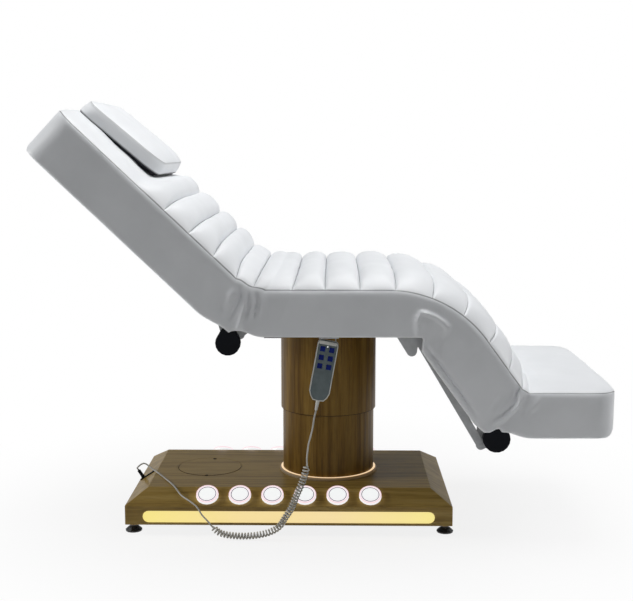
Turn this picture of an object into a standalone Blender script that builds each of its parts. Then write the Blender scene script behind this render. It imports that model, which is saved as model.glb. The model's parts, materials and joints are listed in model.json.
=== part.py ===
"""An electric treatment bed: a padded couch in four sections on a lifting column and a lit wooden plinth.

Metres, +Z up, +X towards the foot end, -Y the side where the handset hangs. The origin is on the
floor under the column. The model stands at its photographed pose: back raised, leg section down.
Each section is modelled lying flat, under an empty that sits on its hinge and holds its angle.
"""

import math

import bmesh
import bpy
from mathutils import Matrix, Vector

# Shared clearances
GAP = 0.0003
OVERRUN = 0.010
WELD = 0.00005
FUSE = 0.001

# Pose at rest, and how far each hinge turns
BACK_ANGLE = math.radians(43.6)
LEG_ANGLE = math.radians(54.0)
BACK_HALF_FOLD = math.radians(35.0)
FOOT_HALF_FOLD = math.radians(31.0)

# Plinth
PLINTH_LENGTH = 0.900
PLINTH_WIDTH = 0.512
PLINTH_CENTRE_X = -0.108
PLINTH_BOTTOM = 0.030
CHAMFER_FOOT = 0.0843
PLINTH_TOP = 0.1214
CHAMFER_RUN = 0.0566
PLINTH_WALL = 0.012
PLINTH_EDGE = 0.0012
BASE_PLATE_THICK = 0.006
BASE_PLATE_MARGIN = 0.004

# Levelling feet
FOOT_RADIUS = 0.0235
FOOT_NECK_RADIUS = 0.010
FOOT_RIM = 0.004
FOOT_DOME = 0.015
FOOT_INSET_X = 0.0165
FOOT_INSET_Y = 0.044

# Light panels and round lamps
PANEL_LENGTH = 0.803
PANEL_HEIGHT = 0.033
PANEL_CENTRE_Z = 0.0536
PANEL_THICK = 0.009
PANEL_RECESS = 0.001
LAMP_COUNT = 6
LAMP_PITCH = 0.090
LAMP_RADIUS = 0.031
LAMP_HEIGHT = 0.011
LAMP_EDGE = 0.003
LAMP_STEM_RADIUS = 0.014
LAMP_HOLE_RADIUS = 0.0145
LAMP_RAIL_WIDTH = 0.036
LAMP_RAIL_THICK = 0.004

# Column
LOWER_SLEEVE_RADIUS = 0.1326
LOWER_SLEEVE_WALL = 0.0035
LOWER_SLEEVE_TOP = 0.440
UPPER_SLEEVE_RADIUS = 0.138
UPPER_SLEEVE_WALL = 0.003
UPPER_SLEEVE_FOOT = 0.310
RING_RADIUS = 0.1425
RING_HEIGHT = 0.009
TUBE_HOLE_RADIUS = 0.062
OUTER_TUBE_WIDTH = 0.080
OUTER_TUBE_TOP = 0.430
INNER_TUBE_WIDTH = 0.070
INNER_TUBE_FOOT = 0.220
TUBE_WALL = 0.004
TOP_PLATE_LENGTH = 0.290
TOP_PLATE_WIDTH = 0.300
TOP_PLATE_THICK = 0.008

# Service cover, control box and sockets
COVER_RADIUS = 0.096
COVER_CENTRE = (-0.351, 0.006)
COVER_THICK = 0.0055
COVER_SEAT = 0.006
COVER_LEDGE = 0.009
COVER_NOTCH_RADIUS = 0.0032
COVER_FIT = 0.0006
CONTROL_BOX = (0.150, 0.090, 0.048)
INLET_WIDTH = 0.030
INLET_HEIGHT = 0.024
INLET_FLANGE = 0.004
INLET_DEPTH = 0.024
INLET_PROUD = 0.002
INLET_PIT = 0.014
SOCKET_X = -0.543
SOCKET_Y = -0.022
SOCKET_PLATE = (0.050, 0.012, 0.0025)
SOCKET_BOSS_RADIUS = 0.0055
SOCKET_BOSS_HEIGHT = 0.010
SOCKET_STEM_RADIUS = 0.004

# Couch pads
COUCH_WIDTH = 0.700
SEAM_HEIGHT = 0.694
SEAT_THICK = 0.126
SEAT_BOTTOM = SEAM_HEIGHT - SEAT_THICK
RIM_WIDTH = 0.022
RAIL_HEIGHT = 0.030
RAIL_WIDTH = 0.032
BOARD_THICK = 0.015
POCKET_DEPTH = RAIL_HEIGHT + BOARD_THICK + GAP
CROWN_VALLEY = 0.030
CROWN_BUMP = 0.052
PLAIN_CROWN = 0.020
FOOT_CROWN = 0.015
SIDE_DRAWN_IN = 0.004
UNDER_EDGE = 0.007
CROWN_SHARES = (0.0, 0.45, 0.75, 0.92)
PUFF_SHARES = ((0.14, 0.60), (0.50, 1.0), (0.86, 0.60))
CREASE_CROWNS = (0.030, 0.041, 0.028, 0.041, 0.030)
CREASE_TOUCH = 1.5 * GAP
END_TURN_SHARES = (0.25, 0.50, 0.75, 1.0)
POCKET_FROM_END = 0.072

# Hinges: the back hinge lies under the pads, the knee hinge in the frame, the foot hinge under both pads
BACK_PIVOT_DROP = 0.020
KNEE_PIVOT_RISE = 0.026
BACK_PIVOT = (-0.264, SEAT_BOTTOM - BACK_PIVOT_DROP)
KNEE_PIVOT = (0.2688, SEAT_BOTTOM + KNEE_PIVOT_RISE)
FOOT_PIVOT_ON_LEG = (0.3492, -0.0322)
FOOT_PIVOT = (
    KNEE_PIVOT[0] + FOOT_PIVOT_ON_LEG[0] * math.cos(LEG_ANGLE) + FOOT_PIVOT_ON_LEG[1] * math.sin(LEG_ANGLE),
    KNEE_PIVOT[1] - FOOT_PIVOT_ON_LEG[0] * math.sin(LEG_ANGLE) + FOOT_PIVOT_ON_LEG[1] * math.cos(LEG_ANGLE),
)
PIN_RADIUS = 0.006
HOLE_EASE = 0.0003
LUG_RADIUS = 0.016
LUG_ROOT_RADIUS = 0.012
LUG_THICK = 0.006
LUG_REACH = 0.050
RAIL_INSET = 0.088
HINGE_COVER_INSET = 0.052
FOOT_COVER_INSET = 0.0454
SHAFT_PROUD = 0.0032
INNER_RAIL_Y = COUCH_WIDTH / 2 - RAIL_INSET
OUTER_RAIL_Y = INNER_RAIL_Y + LUG_THICK + GAP
HINGE_COVER_Y = COUCH_WIDTH / 2 - HINGE_COVER_INSET
FOOT_COVER_Y = COUCH_WIDTH / 2 - FOOT_COVER_INSET
KNEE_SHAFT_Y = OUTER_RAIL_Y + LUG_THICK + SHAFT_PROUD
BACK_SHAFT_Y = HINGE_COVER_Y - GAP
FOOT_SHAFT_Y = FOOT_COVER_Y - GAP

# Section lengths along the bed, measured from each hinge
BACK_BOTTOM = 0.0093
BACK_SIDE = 0.137
BACK_LENGTH = 0.718
BACK_CHANNEL_EDGES = (0.184, 0.2705, 0.357, 0.4435)
BACK_PLAIN_SHARES = (0.131, 0.427, 0.773)
BACK_RAIL_INSET = 0.078
BACK_BOARD_INSET = 0.083
BACK_BAR_INSET = 0.118
BACK_RAILS = (0.038, BACK_LENGTH - BACK_RAIL_INSET)
BACK_BOARD = (0.062, BACK_LENGTH - BACK_BOARD_INSET)
BACK_BARS = (0.040, 0.310, BACK_LENGTH - BACK_BAR_INSET)
SEAT_CHANNEL_EDGES = (-0.093, -0.007, 0.083, 0.176)
SEAT_RAILS = (-0.226, 0.2368)
SEAT_BOARD = (-0.203, 0.2515)
SEAT_BARS = (-0.220, -0.1753, 0.1453, 0.178)
KNEE_RADIUS = 0.320
KNEE_CENTRE = (0.1567, SEAM_HEIGHT - KNEE_RADIUS)
KNEE_UNDER_RADIUS = 0.194
KNEE_TURNS = (12.0, 20.9, 23.3, 27.0, 29.3, 35.4, 37.7, 40.0, 46.0, 51.5)
KNEE_CROWNS = (0.052, 0.030, 0.043, 0.049, 0.052, 0.043, 0.030, 0.043, 0.052, 0.043)
LEG_BOTTOM = -KNEE_PIVOT_RISE
LEG_SIDE = SEAT_THICK
LEG_START = 0.1195
LEG_CHANNEL_EDGES = (0.2085,)
LEG_RAILS = (0.032, 0.3172)
LEG_PANEL = (0.0185, 0.3155)
LEG_BARS = (0.038, 0.288)
FOOT_LENGTH = 0.304
FOOT_BOTTOM = 0.0075
FOOT_SIDE = 0.124
FOOT_ROWS = (0.120, 0.170, 0.215)
FOOT_RAILS = (0.032, 0.228)
FOOT_BARS = (0.038, 0.200)
BAR_WIDTH = 0.025
BAR_SHY = 0.001
HEAD_CORNER = 0.060
HEAD_END_ROUND = 0.014
FOOT_CORNER = 0.060
FOOT_END_ROUND = 0.032

# Linkage that keeps the foot section level
LINK_SHIFT = (-0.0387, -0.0230)
LINK_WIDTH = 0.022
LINK_THICK = 0.005
LINK_PLATE_INSET = 0.058
LINK_PLATE_Y = COUCH_WIDTH / 2 - LINK_PLATE_INSET
LINK_PLATE_THICK = 0.006
LINK_Y = LINK_PLATE_Y + LINK_PLATE_THICK + GAP
LINK_PIN_RADIUS = 0.005
LINK_PIN_END = FOOT_SHAFT_Y
LINK_OPEN_EASE = 0.0005
BRACKET_CIRCLES = ((*LINK_SHIFT, 0.013), (-0.0878, -0.0110, 0.010), (-0.0468, -0.0700, 0.014))
ARM_CORNER = (-0.040, 0.0215, 0.010)
ARM_END_RADIUS = 0.013
OUTRIGGER = (-0.0928, -0.0638, -0.0200, 0.0)
HINGE_COVER_RADIUS = 0.0335
HINGE_COVER_RISE = 0.018
FOOT_COVER_RADIUS = 0.0365
HINGE_COVER_THICK = 0.022
HINGE_COVER_EDGE = 0.003

# Actuators: a pin on each rod runs in a slot of a lever under the hinge
ACTUATOR_PAST_MIDDLE = 0.005
ACTUATOR_Y = (UPPER_SLEEVE_RADIUS + INNER_RAIL_Y) / 2 + ACTUATOR_PAST_MIDDLE
ACTUATOR_RADIUS = 0.0225
ACTUATOR_BORE = 0.0090
ACTUATOR_EDGE = 0.003
BRACE_WIDTH = 0.020
ROD_RADIUS = 0.008
ROD_PIN_RADIUS = 0.005
ROD_PAST_PIN = 0.007
LEVER_INSIDE = 0.015
LEVER_Y = ACTUATOR_Y - LEVER_INSIDE
ROD_PIN_END_Y = LEVER_Y - LEVER_INSIDE * 2 / 5
LEVER_THICK = 0.006
LEVER_EDGE = 0.007
LEVER_HUB = 0.014
BACK_LEVER = 0.050
BACK_LEVER_LEAN = math.radians(8.6)
BACK_RATE_SHARE = 1.11
BACK_SLOT_FREE = 0.0018
BACK_ACTUATOR = (-0.200, -0.050)
BACK_BORE_END = -0.085
BACK_ROD_END = -0.140
BACK_BRACE = (-0.173, -0.148)
LEG_LEVER = 0.090
LEG_LEVER_LEAN = math.radians(23.0)
LEG_RATE_SHARE = 1.08
LEG_SLOT_FREE = 0.0021
LEG_ACTUATOR = (-0.010, 0.170)
LEG_BORE_END = 0.040
LEG_ROD_END = 0.060
LEG_BRACE = (0.147, 0.166)

# Pillow
PILLOW_HEAD_INSET = 0.021
PILLOW_ON_CHANNEL = 0.0285
PILLOW_REST = 0.0171
PILLOW_HEAD = (BACK_LENGTH - PILLOW_HEAD_INSET, BACK_BOTTOM + BACK_SIDE + PILLOW_REST)
PILLOW_LENGTH = PILLOW_HEAD[0] - (BACK_CHANNEL_EDGES[-1] - PILLOW_ON_CHANNEL)
PILLOW_WIDTH = 0.420
PILLOW_UNDER = 0.024
PILLOW_CROWN = 0.025
PILLOW_CORNER = 0.050
PILLOW_TILT = math.radians(5.0)
PILLOW_CORE_SHARE = 0.72
PILLOW_TURN_SHARES = (0.0, 0.25, 0.50, 0.80)

# Handset
HANDSET_INSET = 0.0175
HANDSET_DROP = 0.089
HANDSET_CENTRE = (-0.0118, HANDSET_INSET - COUCH_WIDTH / 2, SEAT_BOTTOM - HANDSET_DROP)
HANDSET_TILT = math.radians(10.2)
HANDSET_WIDTH = 0.055
HANDSET_LENGTH = 0.160
HANDSET_THICK = 0.023
HANDSET_FRONT = 0.009
HANDSET_CORNER = 0.010
HANDSET_FOOT_WIDTH = 0.030
HANDSET_FOOT_RISE = 0.022
HANDSET_EDGE = 0.002
KEY_SIZE = 0.013
KEY_PITCH_X = 0.0240
KEY_PITCH_Z = 0.0230
KEY_TOP_Z = 0.0580
KEY_PROUD = 0.0016
KEY_DEPTH = 0.0080
KEY_FIT = 0.0004
KEY_EDGE = 0.0006
HOOK_WIRE = 0.0015
HOOK_HALF_SPAN = 0.018
HOOK_DROP = 0.032
HOOK_PLATE = (0.052, 0.026, 0.003)
HOOK_PLATE_INSET = 0.0205
HOOK_WIRE_INSET = 0.0310
HOOK_PLATE_Y = HOOK_PLATE_INSET - COUCH_WIDTH / 2
HOOK_WIRE_Y = HOOK_WIRE_INSET - COUCH_WIDTH / 2
HOOK_X = 0.0025
RELIEF_LENGTH = 0.030
RELIEF_RADIUS = 0.0055
RELIEF_TIP_RADIUS = 0.0036
RELIEF_RIBS = 4
RELIEF_GROOVE = 0.0006

# Curly cord
CORD_DIAMETER = 0.0044
CURL_OUTER = 0.0194
CURL_TURNS = 46
CURL_POINTS = 8
CURL_RAMP_TURNS = 0.75
CORD_STEP = 0.012
CORD_JOINT = 0.0008
PLUG_RADIUS = 0.0048
PLUG_LENGTH = 0.018
LEAD_ROUTE = (
    (-0.0365, -0.3282, 0.3480),
    (-0.0412, -0.3282, 0.3172),
    (-0.0510, -0.3280, 0.2787),
    (-0.0557, -0.3270, 0.2380),
)
CURL_ROUTE = (
    (-0.0553, -0.3260, 0.2210),
    (-0.0634, -0.3240, 0.1873),
    (-0.0736, -0.3210, 0.1592),
    (-0.0848, -0.3170, 0.1328),
    (-0.0971, -0.3110, 0.0986),
    (-0.1145, -0.3050, 0.0694),
    (-0.1331, -0.2970, 0.0398),
    (-0.1649, -0.2920, 0.0210),
    (-0.2058, -0.2900, 0.0125),
    (-0.2526, -0.2890, 0.0118),
    (-0.2903, -0.2890, 0.0185),
    (-0.3116, -0.2895, 0.0346),
)
TAIL_ROUTE = (
    (-0.3250, -0.2890, 0.0512),
    (-0.3420, -0.2850, 0.0681),
    (-0.3566, -0.2790, 0.0892),
    (-0.3776, -0.2650, 0.1009),
    (-0.4053, -0.2400, 0.1110),
    (-0.4280, -0.2070, 0.1255),
    (-0.4610, -0.1360, 0.1246),
    (-0.4940, -0.0720, 0.1246),
    (-0.5170, -0.0350, 0.1262),
    (-0.5430, -0.0180, 0.1375),
)
LOOP_RISE = 0.016
CURL_START_SHARE = 0.62
CURL_END_SHARE = 0.30

PARTS = None
CUTTERS = None


# Scene set-up

def clear_scene():
    for item in list(bpy.data.objects):
        bpy.data.objects.remove(item)


def new_collection(name):
    collection = bpy.data.collections.new(name)
    bpy.context.scene.collection.children.link(collection)
    return collection


def material(name, colour, roughness, metallic=0.0):
    """One Principled material, made once for each name."""
    made = bpy.data.materials.get(name)
    if made is None:
        made = bpy.data.materials.new(name)
        made.use_nodes = True
        shader = made.node_tree.nodes["Principled BSDF"]
        shader.inputs["Base Color"].default_value = (*colour, 1.0)
        shader.inputs["Roughness"].default_value = roughness
        shader.inputs["Metallic"].default_value = metallic
        made.diffuse_color = (*colour, 1.0)
    return made


def walnut():
    return material("oak_veneer", (0.21, 0.13, 0.055), 0.5)


def white_leather():
    return material("white_leatherette", (0.80, 0.82, 0.85), 0.45)


def grey_steel():
    return material("grey_steel", (0.42, 0.43, 0.45), 0.45, 0.6)


def black_plastic():
    return material("black_plastic", (0.012, 0.013, 0.015), 0.35)


def warm_light():
    return material("warm_light", (1.0, 0.80, 0.40), 0.5)


def white_light():
    return material("white_light", (0.95, 0.90, 0.95), 0.4)


def rose_gold():
    return material("rose_gold", (0.80, 0.45, 0.28), 0.25, 1.0)


def handset_grey():
    return material("handset_grey", (0.50, 0.56, 0.62), 0.4)


def key_blue():
    return material("key_blue", (0.02, 0.06, 0.33), 0.4)


def cord_grey():
    return material("cord_grey", (0.45, 0.45, 0.43), 0.5)


# Making and placing objects

def place(mesh, name, finish, parent=None):
    made = bpy.data.objects.new(name, mesh)
    PARTS.objects.link(made)
    made.parent = parent
    mesh.materials.clear()
    if finish is not None:
        mesh.materials.append(finish)
    return made


def joint_frame(name, x, z, angle, parent=None, y=0.0):
    """An empty on a hinge line along Y. What hangs from it is modelled lying flat."""
    frame = bpy.data.objects.new(name, None)
    PARTS.objects.link(frame)
    frame.location = (x, y, z)
    frame.rotation_euler = (0.0, angle, 0.0)
    frame.parent = parent
    return frame


def to_cutter(item):
    """Turns an object into a hidden helper of a Boolean."""
    PARTS.objects.unlink(item)
    CUTTERS.objects.link(item)
    item.hide_render = True
    item.display_type = "WIRE"
    return item


def boolean(target, tool, operation):
    to_cutter(tool)
    step = target.modifiers.new(operation.lower(), "BOOLEAN")
    step.operation = operation
    step.solver = "EXACT"
    step.object = tool


def cut(target, *tools):
    for tool in tools:
        boolean(target, tool, "DIFFERENCE")


def unite(target, *tools):
    for tool in tools:
        boolean(target, tool, "UNION")


def bevel(item, width, segments=2, angle=math.radians(40)):
    step = item.modifiers.new("rounded edges", "BEVEL")
    step.width = width
    step.segments = segments
    step.limit_method = "ANGLE"
    step.angle_limit = angle


def smooth(item, angle=math.radians(35)):
    item.data.shade_smooth()
    item.data.set_sharp_from_angle(angle=angle)


def mesh_of(name, build):
    """A mesh that build fills through a bmesh."""
    work = bmesh.new()
    build(work)
    mesh = bpy.data.meshes.new(name)
    work.to_mesh(mesh)
    work.free()
    return mesh


def box(name, low, high, finish=None, parent=None):
    size = [high[axis] - low[axis] for axis in range(3)]
    centre = [(high[axis] + low[axis]) / 2 for axis in range(3)]

    def build(work):
        bmesh.ops.create_cube(work, size=1.0)
        bmesh.ops.scale(work, vec=size, verts=work.verts)
        bmesh.ops.translate(work, vec=centre, verts=work.verts)

    return place(mesh_of(name, build), name, finish, parent)


def rod(name, radius, start, end, finish=None, parent=None, segments=18):
    """A closed cylinder from start to end."""
    start, end = Vector(start), Vector(end)
    along = end - start
    turn = Vector((0.0, 0.0, 1.0)).rotation_difference(along.normalized()).to_matrix().to_4x4()

    def build(work):
        bmesh.ops.create_cone(
            work,
            cap_ends=True,
            segments=segments,
            radius1=radius,
            radius2=radius,
            depth=along.length,
            matrix=Matrix.Translation((start + end) / 2) @ turn,
        )

    made = place(mesh_of(name, build), name, finish, parent)
    smooth(made)
    return made


def turned(name, profile, steps, finish=None, parent=None):
    """A profile of (radius, height) pairs at +X, turned about Z. A ring's profile ends where it starts."""
    mesh = bpy.data.meshes.new(name)
    points = [(radius, 0.0, height) for radius, height in profile]
    closed = profile[0] == profile[-1]
    if closed:
        points = points[:-1]
    edges = [(index, index + 1) for index in range(len(points) - 1)]
    if closed:
        edges.append((len(points) - 1, 0))
    mesh.from_pydata(points, edges, [])
    made = place(mesh, name, finish, parent)
    screw = made.modifiers.new("turned", "SCREW")
    screw.steps = steps
    screw.render_steps = steps
    screw.use_merge_vertices = True
    screw.merge_threshold = WELD
    screw.use_smooth_shade = True
    return made


def arc(centre, radius, start, end, count):
    """Points on a circle from angle start to angle end, in degrees."""
    points = []
    for index in range(count + 1):
        angle = math.radians(start + (end - start) * index / count)
        points.append((centre[0] + radius * math.cos(angle), centre[1] + radius * math.sin(angle)))
    return points


def rounded_rectangle(width, height, radius, count=4):
    across, up = width / 2 - radius, height / 2 - radius
    points = []
    for side_x, side_y, start in ((1, 1, 0), (-1, 1, 90), (-1, -1, 180), (1, -1, 270)):
        points += arc((side_x * across, side_y * up), radius, start, start + 90, count)
    return points


def flat_solid(name, outline, thickness, finish=None, parent=None, place_at=None):
    """A filled outline given thickness, as a mesh. It lies in XZ, centred on y = 0, unless place_at says."""
    curve = bpy.data.curves.new(name, "CURVE")
    curve.dimensions = "2D"
    curve.fill_mode = "BOTH"
    curve.extrude = thickness / 2
    spline = curve.splines.new("POLY")
    spline.points.add(len(outline) - 1)
    for point, (across, up) in zip(spline.points, outline):
        point.co = (across, up, 0.0, 1.0)
    spline.use_cyclic_u = True
    drawn = bpy.data.objects.new(name + "_outline", curve)
    CUTTERS.objects.link(drawn)
    bpy.context.view_layer.update()
    mesh = bpy.data.meshes.new_from_object(drawn.evaluated_get(bpy.context.evaluated_depsgraph_get()))
    bpy.data.objects.remove(drawn)
    upright = Matrix.Rotation(math.radians(90), 4, "X")
    mesh.transform((place_at or Matrix.Identity(4)) @ upright)
    work = bmesh.new()
    work.from_mesh(mesh)
    bmesh.ops.remove_doubles(work, verts=work.verts, dist=WELD)
    bmesh.ops.recalc_face_normals(work, faces=work.faces)
    work.to_mesh(mesh)
    work.free()
    mesh.name = name
    return place(mesh, name, finish, parent)


def tube(name, points, radius, resolution, finish, parent=None):
    """A round tube on a polyline, with flat ends."""
    curve = bpy.data.curves.new(name, "CURVE")
    curve.dimensions = "3D"
    curve.bevel_depth = radius
    curve.bevel_resolution = resolution
    curve.use_fill_caps = True
    spline = curve.splines.new("POLY")
    spline.points.add(len(points) - 1)
    for target, point in zip(spline.points, points):
        target.co = (*point, 1.0)
    curve.materials.append(finish)
    made = bpy.data.objects.new(name, curve)
    PARTS.objects.link(made)
    made.parent = parent
    return made


def shift_y(y):
    return Matrix.Translation((0.0, y, 0.0))


# Plinth and what stands in it

def plinth_block(name, margin, floor, parent=None, finish=None):
    """The plinth's outside, or a copy of it drawn in by margin, with its sloped shoulder."""
    half_x = PLINTH_LENGTH / 2 - margin
    half_y = PLINTH_WIDTH / 2 - margin
    slope = math.atan2(PLINTH_TOP - CHAMFER_FOOT, CHAMFER_RUN)
    shoulder = CHAMFER_FOOT - margin * (1 - math.sin(slope)) / math.cos(slope)
    top = PLINTH_TOP - margin
    run = (top - shoulder) / math.tan(slope)

    def build(work):
        bmesh.ops.create_cube(work, size=1.0)
        bmesh.ops.scale(work, vec=(2 * half_x, 2 * half_y, shoulder - floor), verts=work.verts)
        bmesh.ops.translate(work, vec=(PLINTH_CENTRE_X, 0.0, (shoulder + floor) / 2), verts=work.verts)
        lid = max(work.faces, key=lambda face: face.calc_center_median().z)
        raised = bmesh.ops.extrude_face_region(work, geom=[lid])["geom"]
        bmesh.ops.delete(work, geom=[lid], context="FACES_ONLY")
        corners = [item for item in raised if isinstance(item, bmesh.types.BMVert)]
        for corner in corners:
            corner.co.z = top
            corner.co.x -= math.copysign(run, corner.co.x - PLINTH_CENTRE_X)
            corner.co.y -= math.copysign(run, corner.co.y)
        bmesh.ops.recalc_face_normals(work, faces=work.faces)

    return place(mesh_of(name, build), name, finish, parent)


def chamfer_matrix(x, side):
    """A frame on the middle of a long shoulder: its Z points out of the slope, its X runs along the bed."""
    slope = math.atan2(PLINTH_TOP - CHAMFER_FOOT, CHAMFER_RUN)
    middle_y = side * (PLINTH_WIDTH / 2 - CHAMFER_RUN / 2)
    middle_z = (PLINTH_TOP + CHAMFER_FOOT) / 2
    return Matrix.Translation((x, middle_y, middle_z)) @ Matrix.Rotation(-side * slope, 4, "X")


def panel_outline(margin):
    height = PANEL_HEIGHT - 2 * margin
    radius = height / 2
    reach = PANEL_LENGTH / 2 - margin - radius
    right = arc((PLINTH_CENTRE_X + reach, PANEL_CENTRE_Z), radius, -90, 90, 8)
    left = arc((PLINTH_CENTRE_X - reach, PANEL_CENTRE_Z), radius, 90, 270, 8)
    return right + left


def lamp_places():
    first = PLINTH_CENTRE_X - LAMP_PITCH * (LAMP_COUNT - 1) / 2
    return [first + LAMP_PITCH * index for index in range(LAMP_COUNT)]


def tilted_rod(name, frame, radius, low, high, finish=None, segments=12):
    return rod(name, radius, frame @ Vector((0, 0, low)), frame @ Vector((0, 0, high)), finish, None, segments)


def make_plinth():
    shell = plinth_block("plinth_shell", 0.0, PLINTH_BOTTOM, finish=walnut())
    bevel(shell, PLINTH_EDGE, 1, math.radians(25))
    cut(shell, plinth_block("plinth_hollow", PLINTH_WALL, PLINTH_BOTTOM - OVERRUN))
    slot_depth = PLINTH_WALL + 2 * OVERRUN
    for side in (-1, 1):
        wall_y = side * (PLINTH_WIDTH / 2 - PLINTH_WALL / 2)
        cut(shell, flat_solid("panel_slot", panel_outline(0.0), slot_depth, place_at=shift_y(wall_y)))
        for x in lamp_places():
            frame = chamfer_matrix(x, side)
            cut(shell, tilted_rod("lamp_hole", frame, LAMP_HOLE_RADIUS, -PLINTH_WALL - OVERRUN, OVERRUN, None, 8))
    below = PLINTH_TOP - PLINTH_WALL - OVERRUN
    above = PLINTH_TOP + OVERRUN
    cut(shell, rod("tube_hole", TUBE_HOLE_RADIUS, (0, 0, below), (0, 0, above), segments=32))
    cover_x, cover_y = COVER_CENTRE
    seat = PLINTH_TOP - COVER_SEAT
    cover_hole = COVER_RADIUS + COVER_FIT
    cut(
        shell,
        rod("cover_seat", cover_hole, (cover_x, cover_y, seat), (cover_x, cover_y, above), segments=36),
        rod("cover_way", cover_hole - COVER_LEDGE, (cover_x, cover_y, below), (cover_x, cover_y, above), segments=36),
    )
    socket = socket_matrix()
    cut(shell, tilted_rod("socket_hole", socket, SOCKET_STEM_RADIUS + GAP, -PLINTH_WALL - OVERRUN, OVERRUN))
    end_x = PLINTH_CENTRE_X + PLINTH_LENGTH / 2
    half_w, half_h = inlet_half_sizes(GAP)
    cut(
        shell,
        box(
            "inlet_hole",
            (end_x - PLINTH_WALL - OVERRUN, -half_w, PANEL_CENTRE_Z - half_h),
            (end_x + OVERRUN, half_w, PANEL_CENTRE_Z + half_h),
        ),
    )
    return shell


def make_base_plate():
    half_x = PLINTH_LENGTH / 2 - PLINTH_WALL - BASE_PLATE_MARGIN
    half_y = PLINTH_WIDTH / 2 - PLINTH_WALL - BASE_PLATE_MARGIN
    low = PLINTH_BOTTOM + GAP
    box(
        "base_plate",
        (PLINTH_CENTRE_X - half_x, -half_y, low),
        (PLINTH_CENTRE_X + half_x, half_y, low + BASE_PLATE_THICK),
        grey_steel(),
    )


def base_plate_top():
    return PLINTH_BOTTOM + GAP + BASE_PLATE_THICK + GAP


def make_feet():
    neck_top = PLINTH_BOTTOM
    profile = [
        (0.0, neck_top),
        (FOOT_NECK_RADIUS, neck_top),
        (FOOT_NECK_RADIUS, FOOT_DOME),
        (FOOT_RADIUS - 2 * FOOT_RIM, (FOOT_DOME + FOOT_RIM) / 2 + FOOT_RIM / 2),
        (FOOT_RADIUS, FOOT_RIM),
        (FOOT_RADIUS - FOOT_RIM / 4, 0.0),
        (0.0, 0.0),
    ]
    for side_x, end_name in ((-1, "head"), (1, "foot")):
        for side_y, side_name in ((-1, "front"), (1, "rear")):
            foot = turned(f"levelling_foot_{end_name}_{side_name}", profile, 14, black_plastic())
            foot.location = (
                PLINTH_CENTRE_X + side_x * (PLINTH_LENGTH / 2 - FOOT_INSET_X),
                side_y * (PLINTH_WIDTH / 2 - FOOT_INSET_Y),
                0.0,
            )


def make_light_panels():
    for side, name in ((-1, "front"), (1, "rear")):
        face_y = side * (PLINTH_WIDTH / 2 - PANEL_RECESS - PANEL_THICK / 2)
        flat_solid(
            f"{name}_light_panel", panel_outline(GAP), PANEL_THICK, warm_light(), place_at=shift_y(face_y)
        )


def make_lamp_rows():
    """Six round lamps on one strip that lies behind the shoulder, their stems passing through its holes."""
    behind = -PLINTH_WALL - GAP
    for side, name in ((-1, "front"), (1, "rear")):
        first, last = lamp_places()[0], lamp_places()[-1]
        strip = flat_solid(
            f"{name}_lamp_row",
            rounded_rectangle(last - first + LAMP_RAIL_WIDTH, LAMP_RAIL_WIDTH, LAMP_RAIL_WIDTH / 3, 2),
            LAMP_RAIL_THICK,
            white_light(),
            place_at=chamfer_matrix(PLINTH_CENTRE_X, side)
            @ Matrix.Translation((0, 0, behind - LAMP_RAIL_THICK / 2))
            @ Matrix.Rotation(math.radians(-90), 4, "X"),
        )
        for x in lamp_places():
            frame = chamfer_matrix(x, side)
            stem_low = behind - LAMP_RAIL_THICK / 2
            lens = tilted_rod("lamp_lens", frame, LAMP_RADIUS, GAP, LAMP_HEIGHT, None, 18)
            bevel(lens, LAMP_EDGE, 1)
            unite(strip, tilted_rod("lamp_stem", frame, LAMP_STEM_RADIUS, stem_low, LAMP_HEIGHT / 2, None, 8))
            unite(strip, lens)


def make_column_base():
    foot = PLINTH_TOP + GAP
    inner = LOWER_SLEEVE_RADIUS - LOWER_SLEEVE_WALL
    turned(
        "lower_sleeve",
        [
            (LOWER_SLEEVE_RADIUS, LOWER_SLEEVE_TOP),
            (LOWER_SLEEVE_RADIUS, foot),
            (inner, foot),
            (inner, LOWER_SLEEVE_TOP),
            (LOWER_SLEEVE_RADIUS, LOWER_SLEEVE_TOP),
        ],
        48,
        walnut(),
    )
    ring_inner = LOWER_SLEEVE_RADIUS + GAP
    half = RING_HEIGHT / 2
    belly = (RING_RADIUS - ring_inner) / 2
    turned(
        "column_ring",
        [
            (ring_inner, foot + RING_HEIGHT),
            (RING_RADIUS - belly, foot + RING_HEIGHT),
            (RING_RADIUS, foot + half),
            (RING_RADIUS, foot),
            (ring_inner, foot),
            (ring_inner, foot + RING_HEIGHT),
        ],
        48,
        rose_gold(),
    )


def square_tube(name, width, low, high, parent=None):
    half = width / 2
    outside = box(name, (-half, -half, low), (half, half, high), grey_steel(), parent)
    inside = half - TUBE_WALL
    hollow = box(
        name + "_hollow", (-inside, -inside, low - OVERRUN), (inside, inside, high + OVERRUN), None, parent
    )
    cut(outside, hollow)
    return outside


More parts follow.
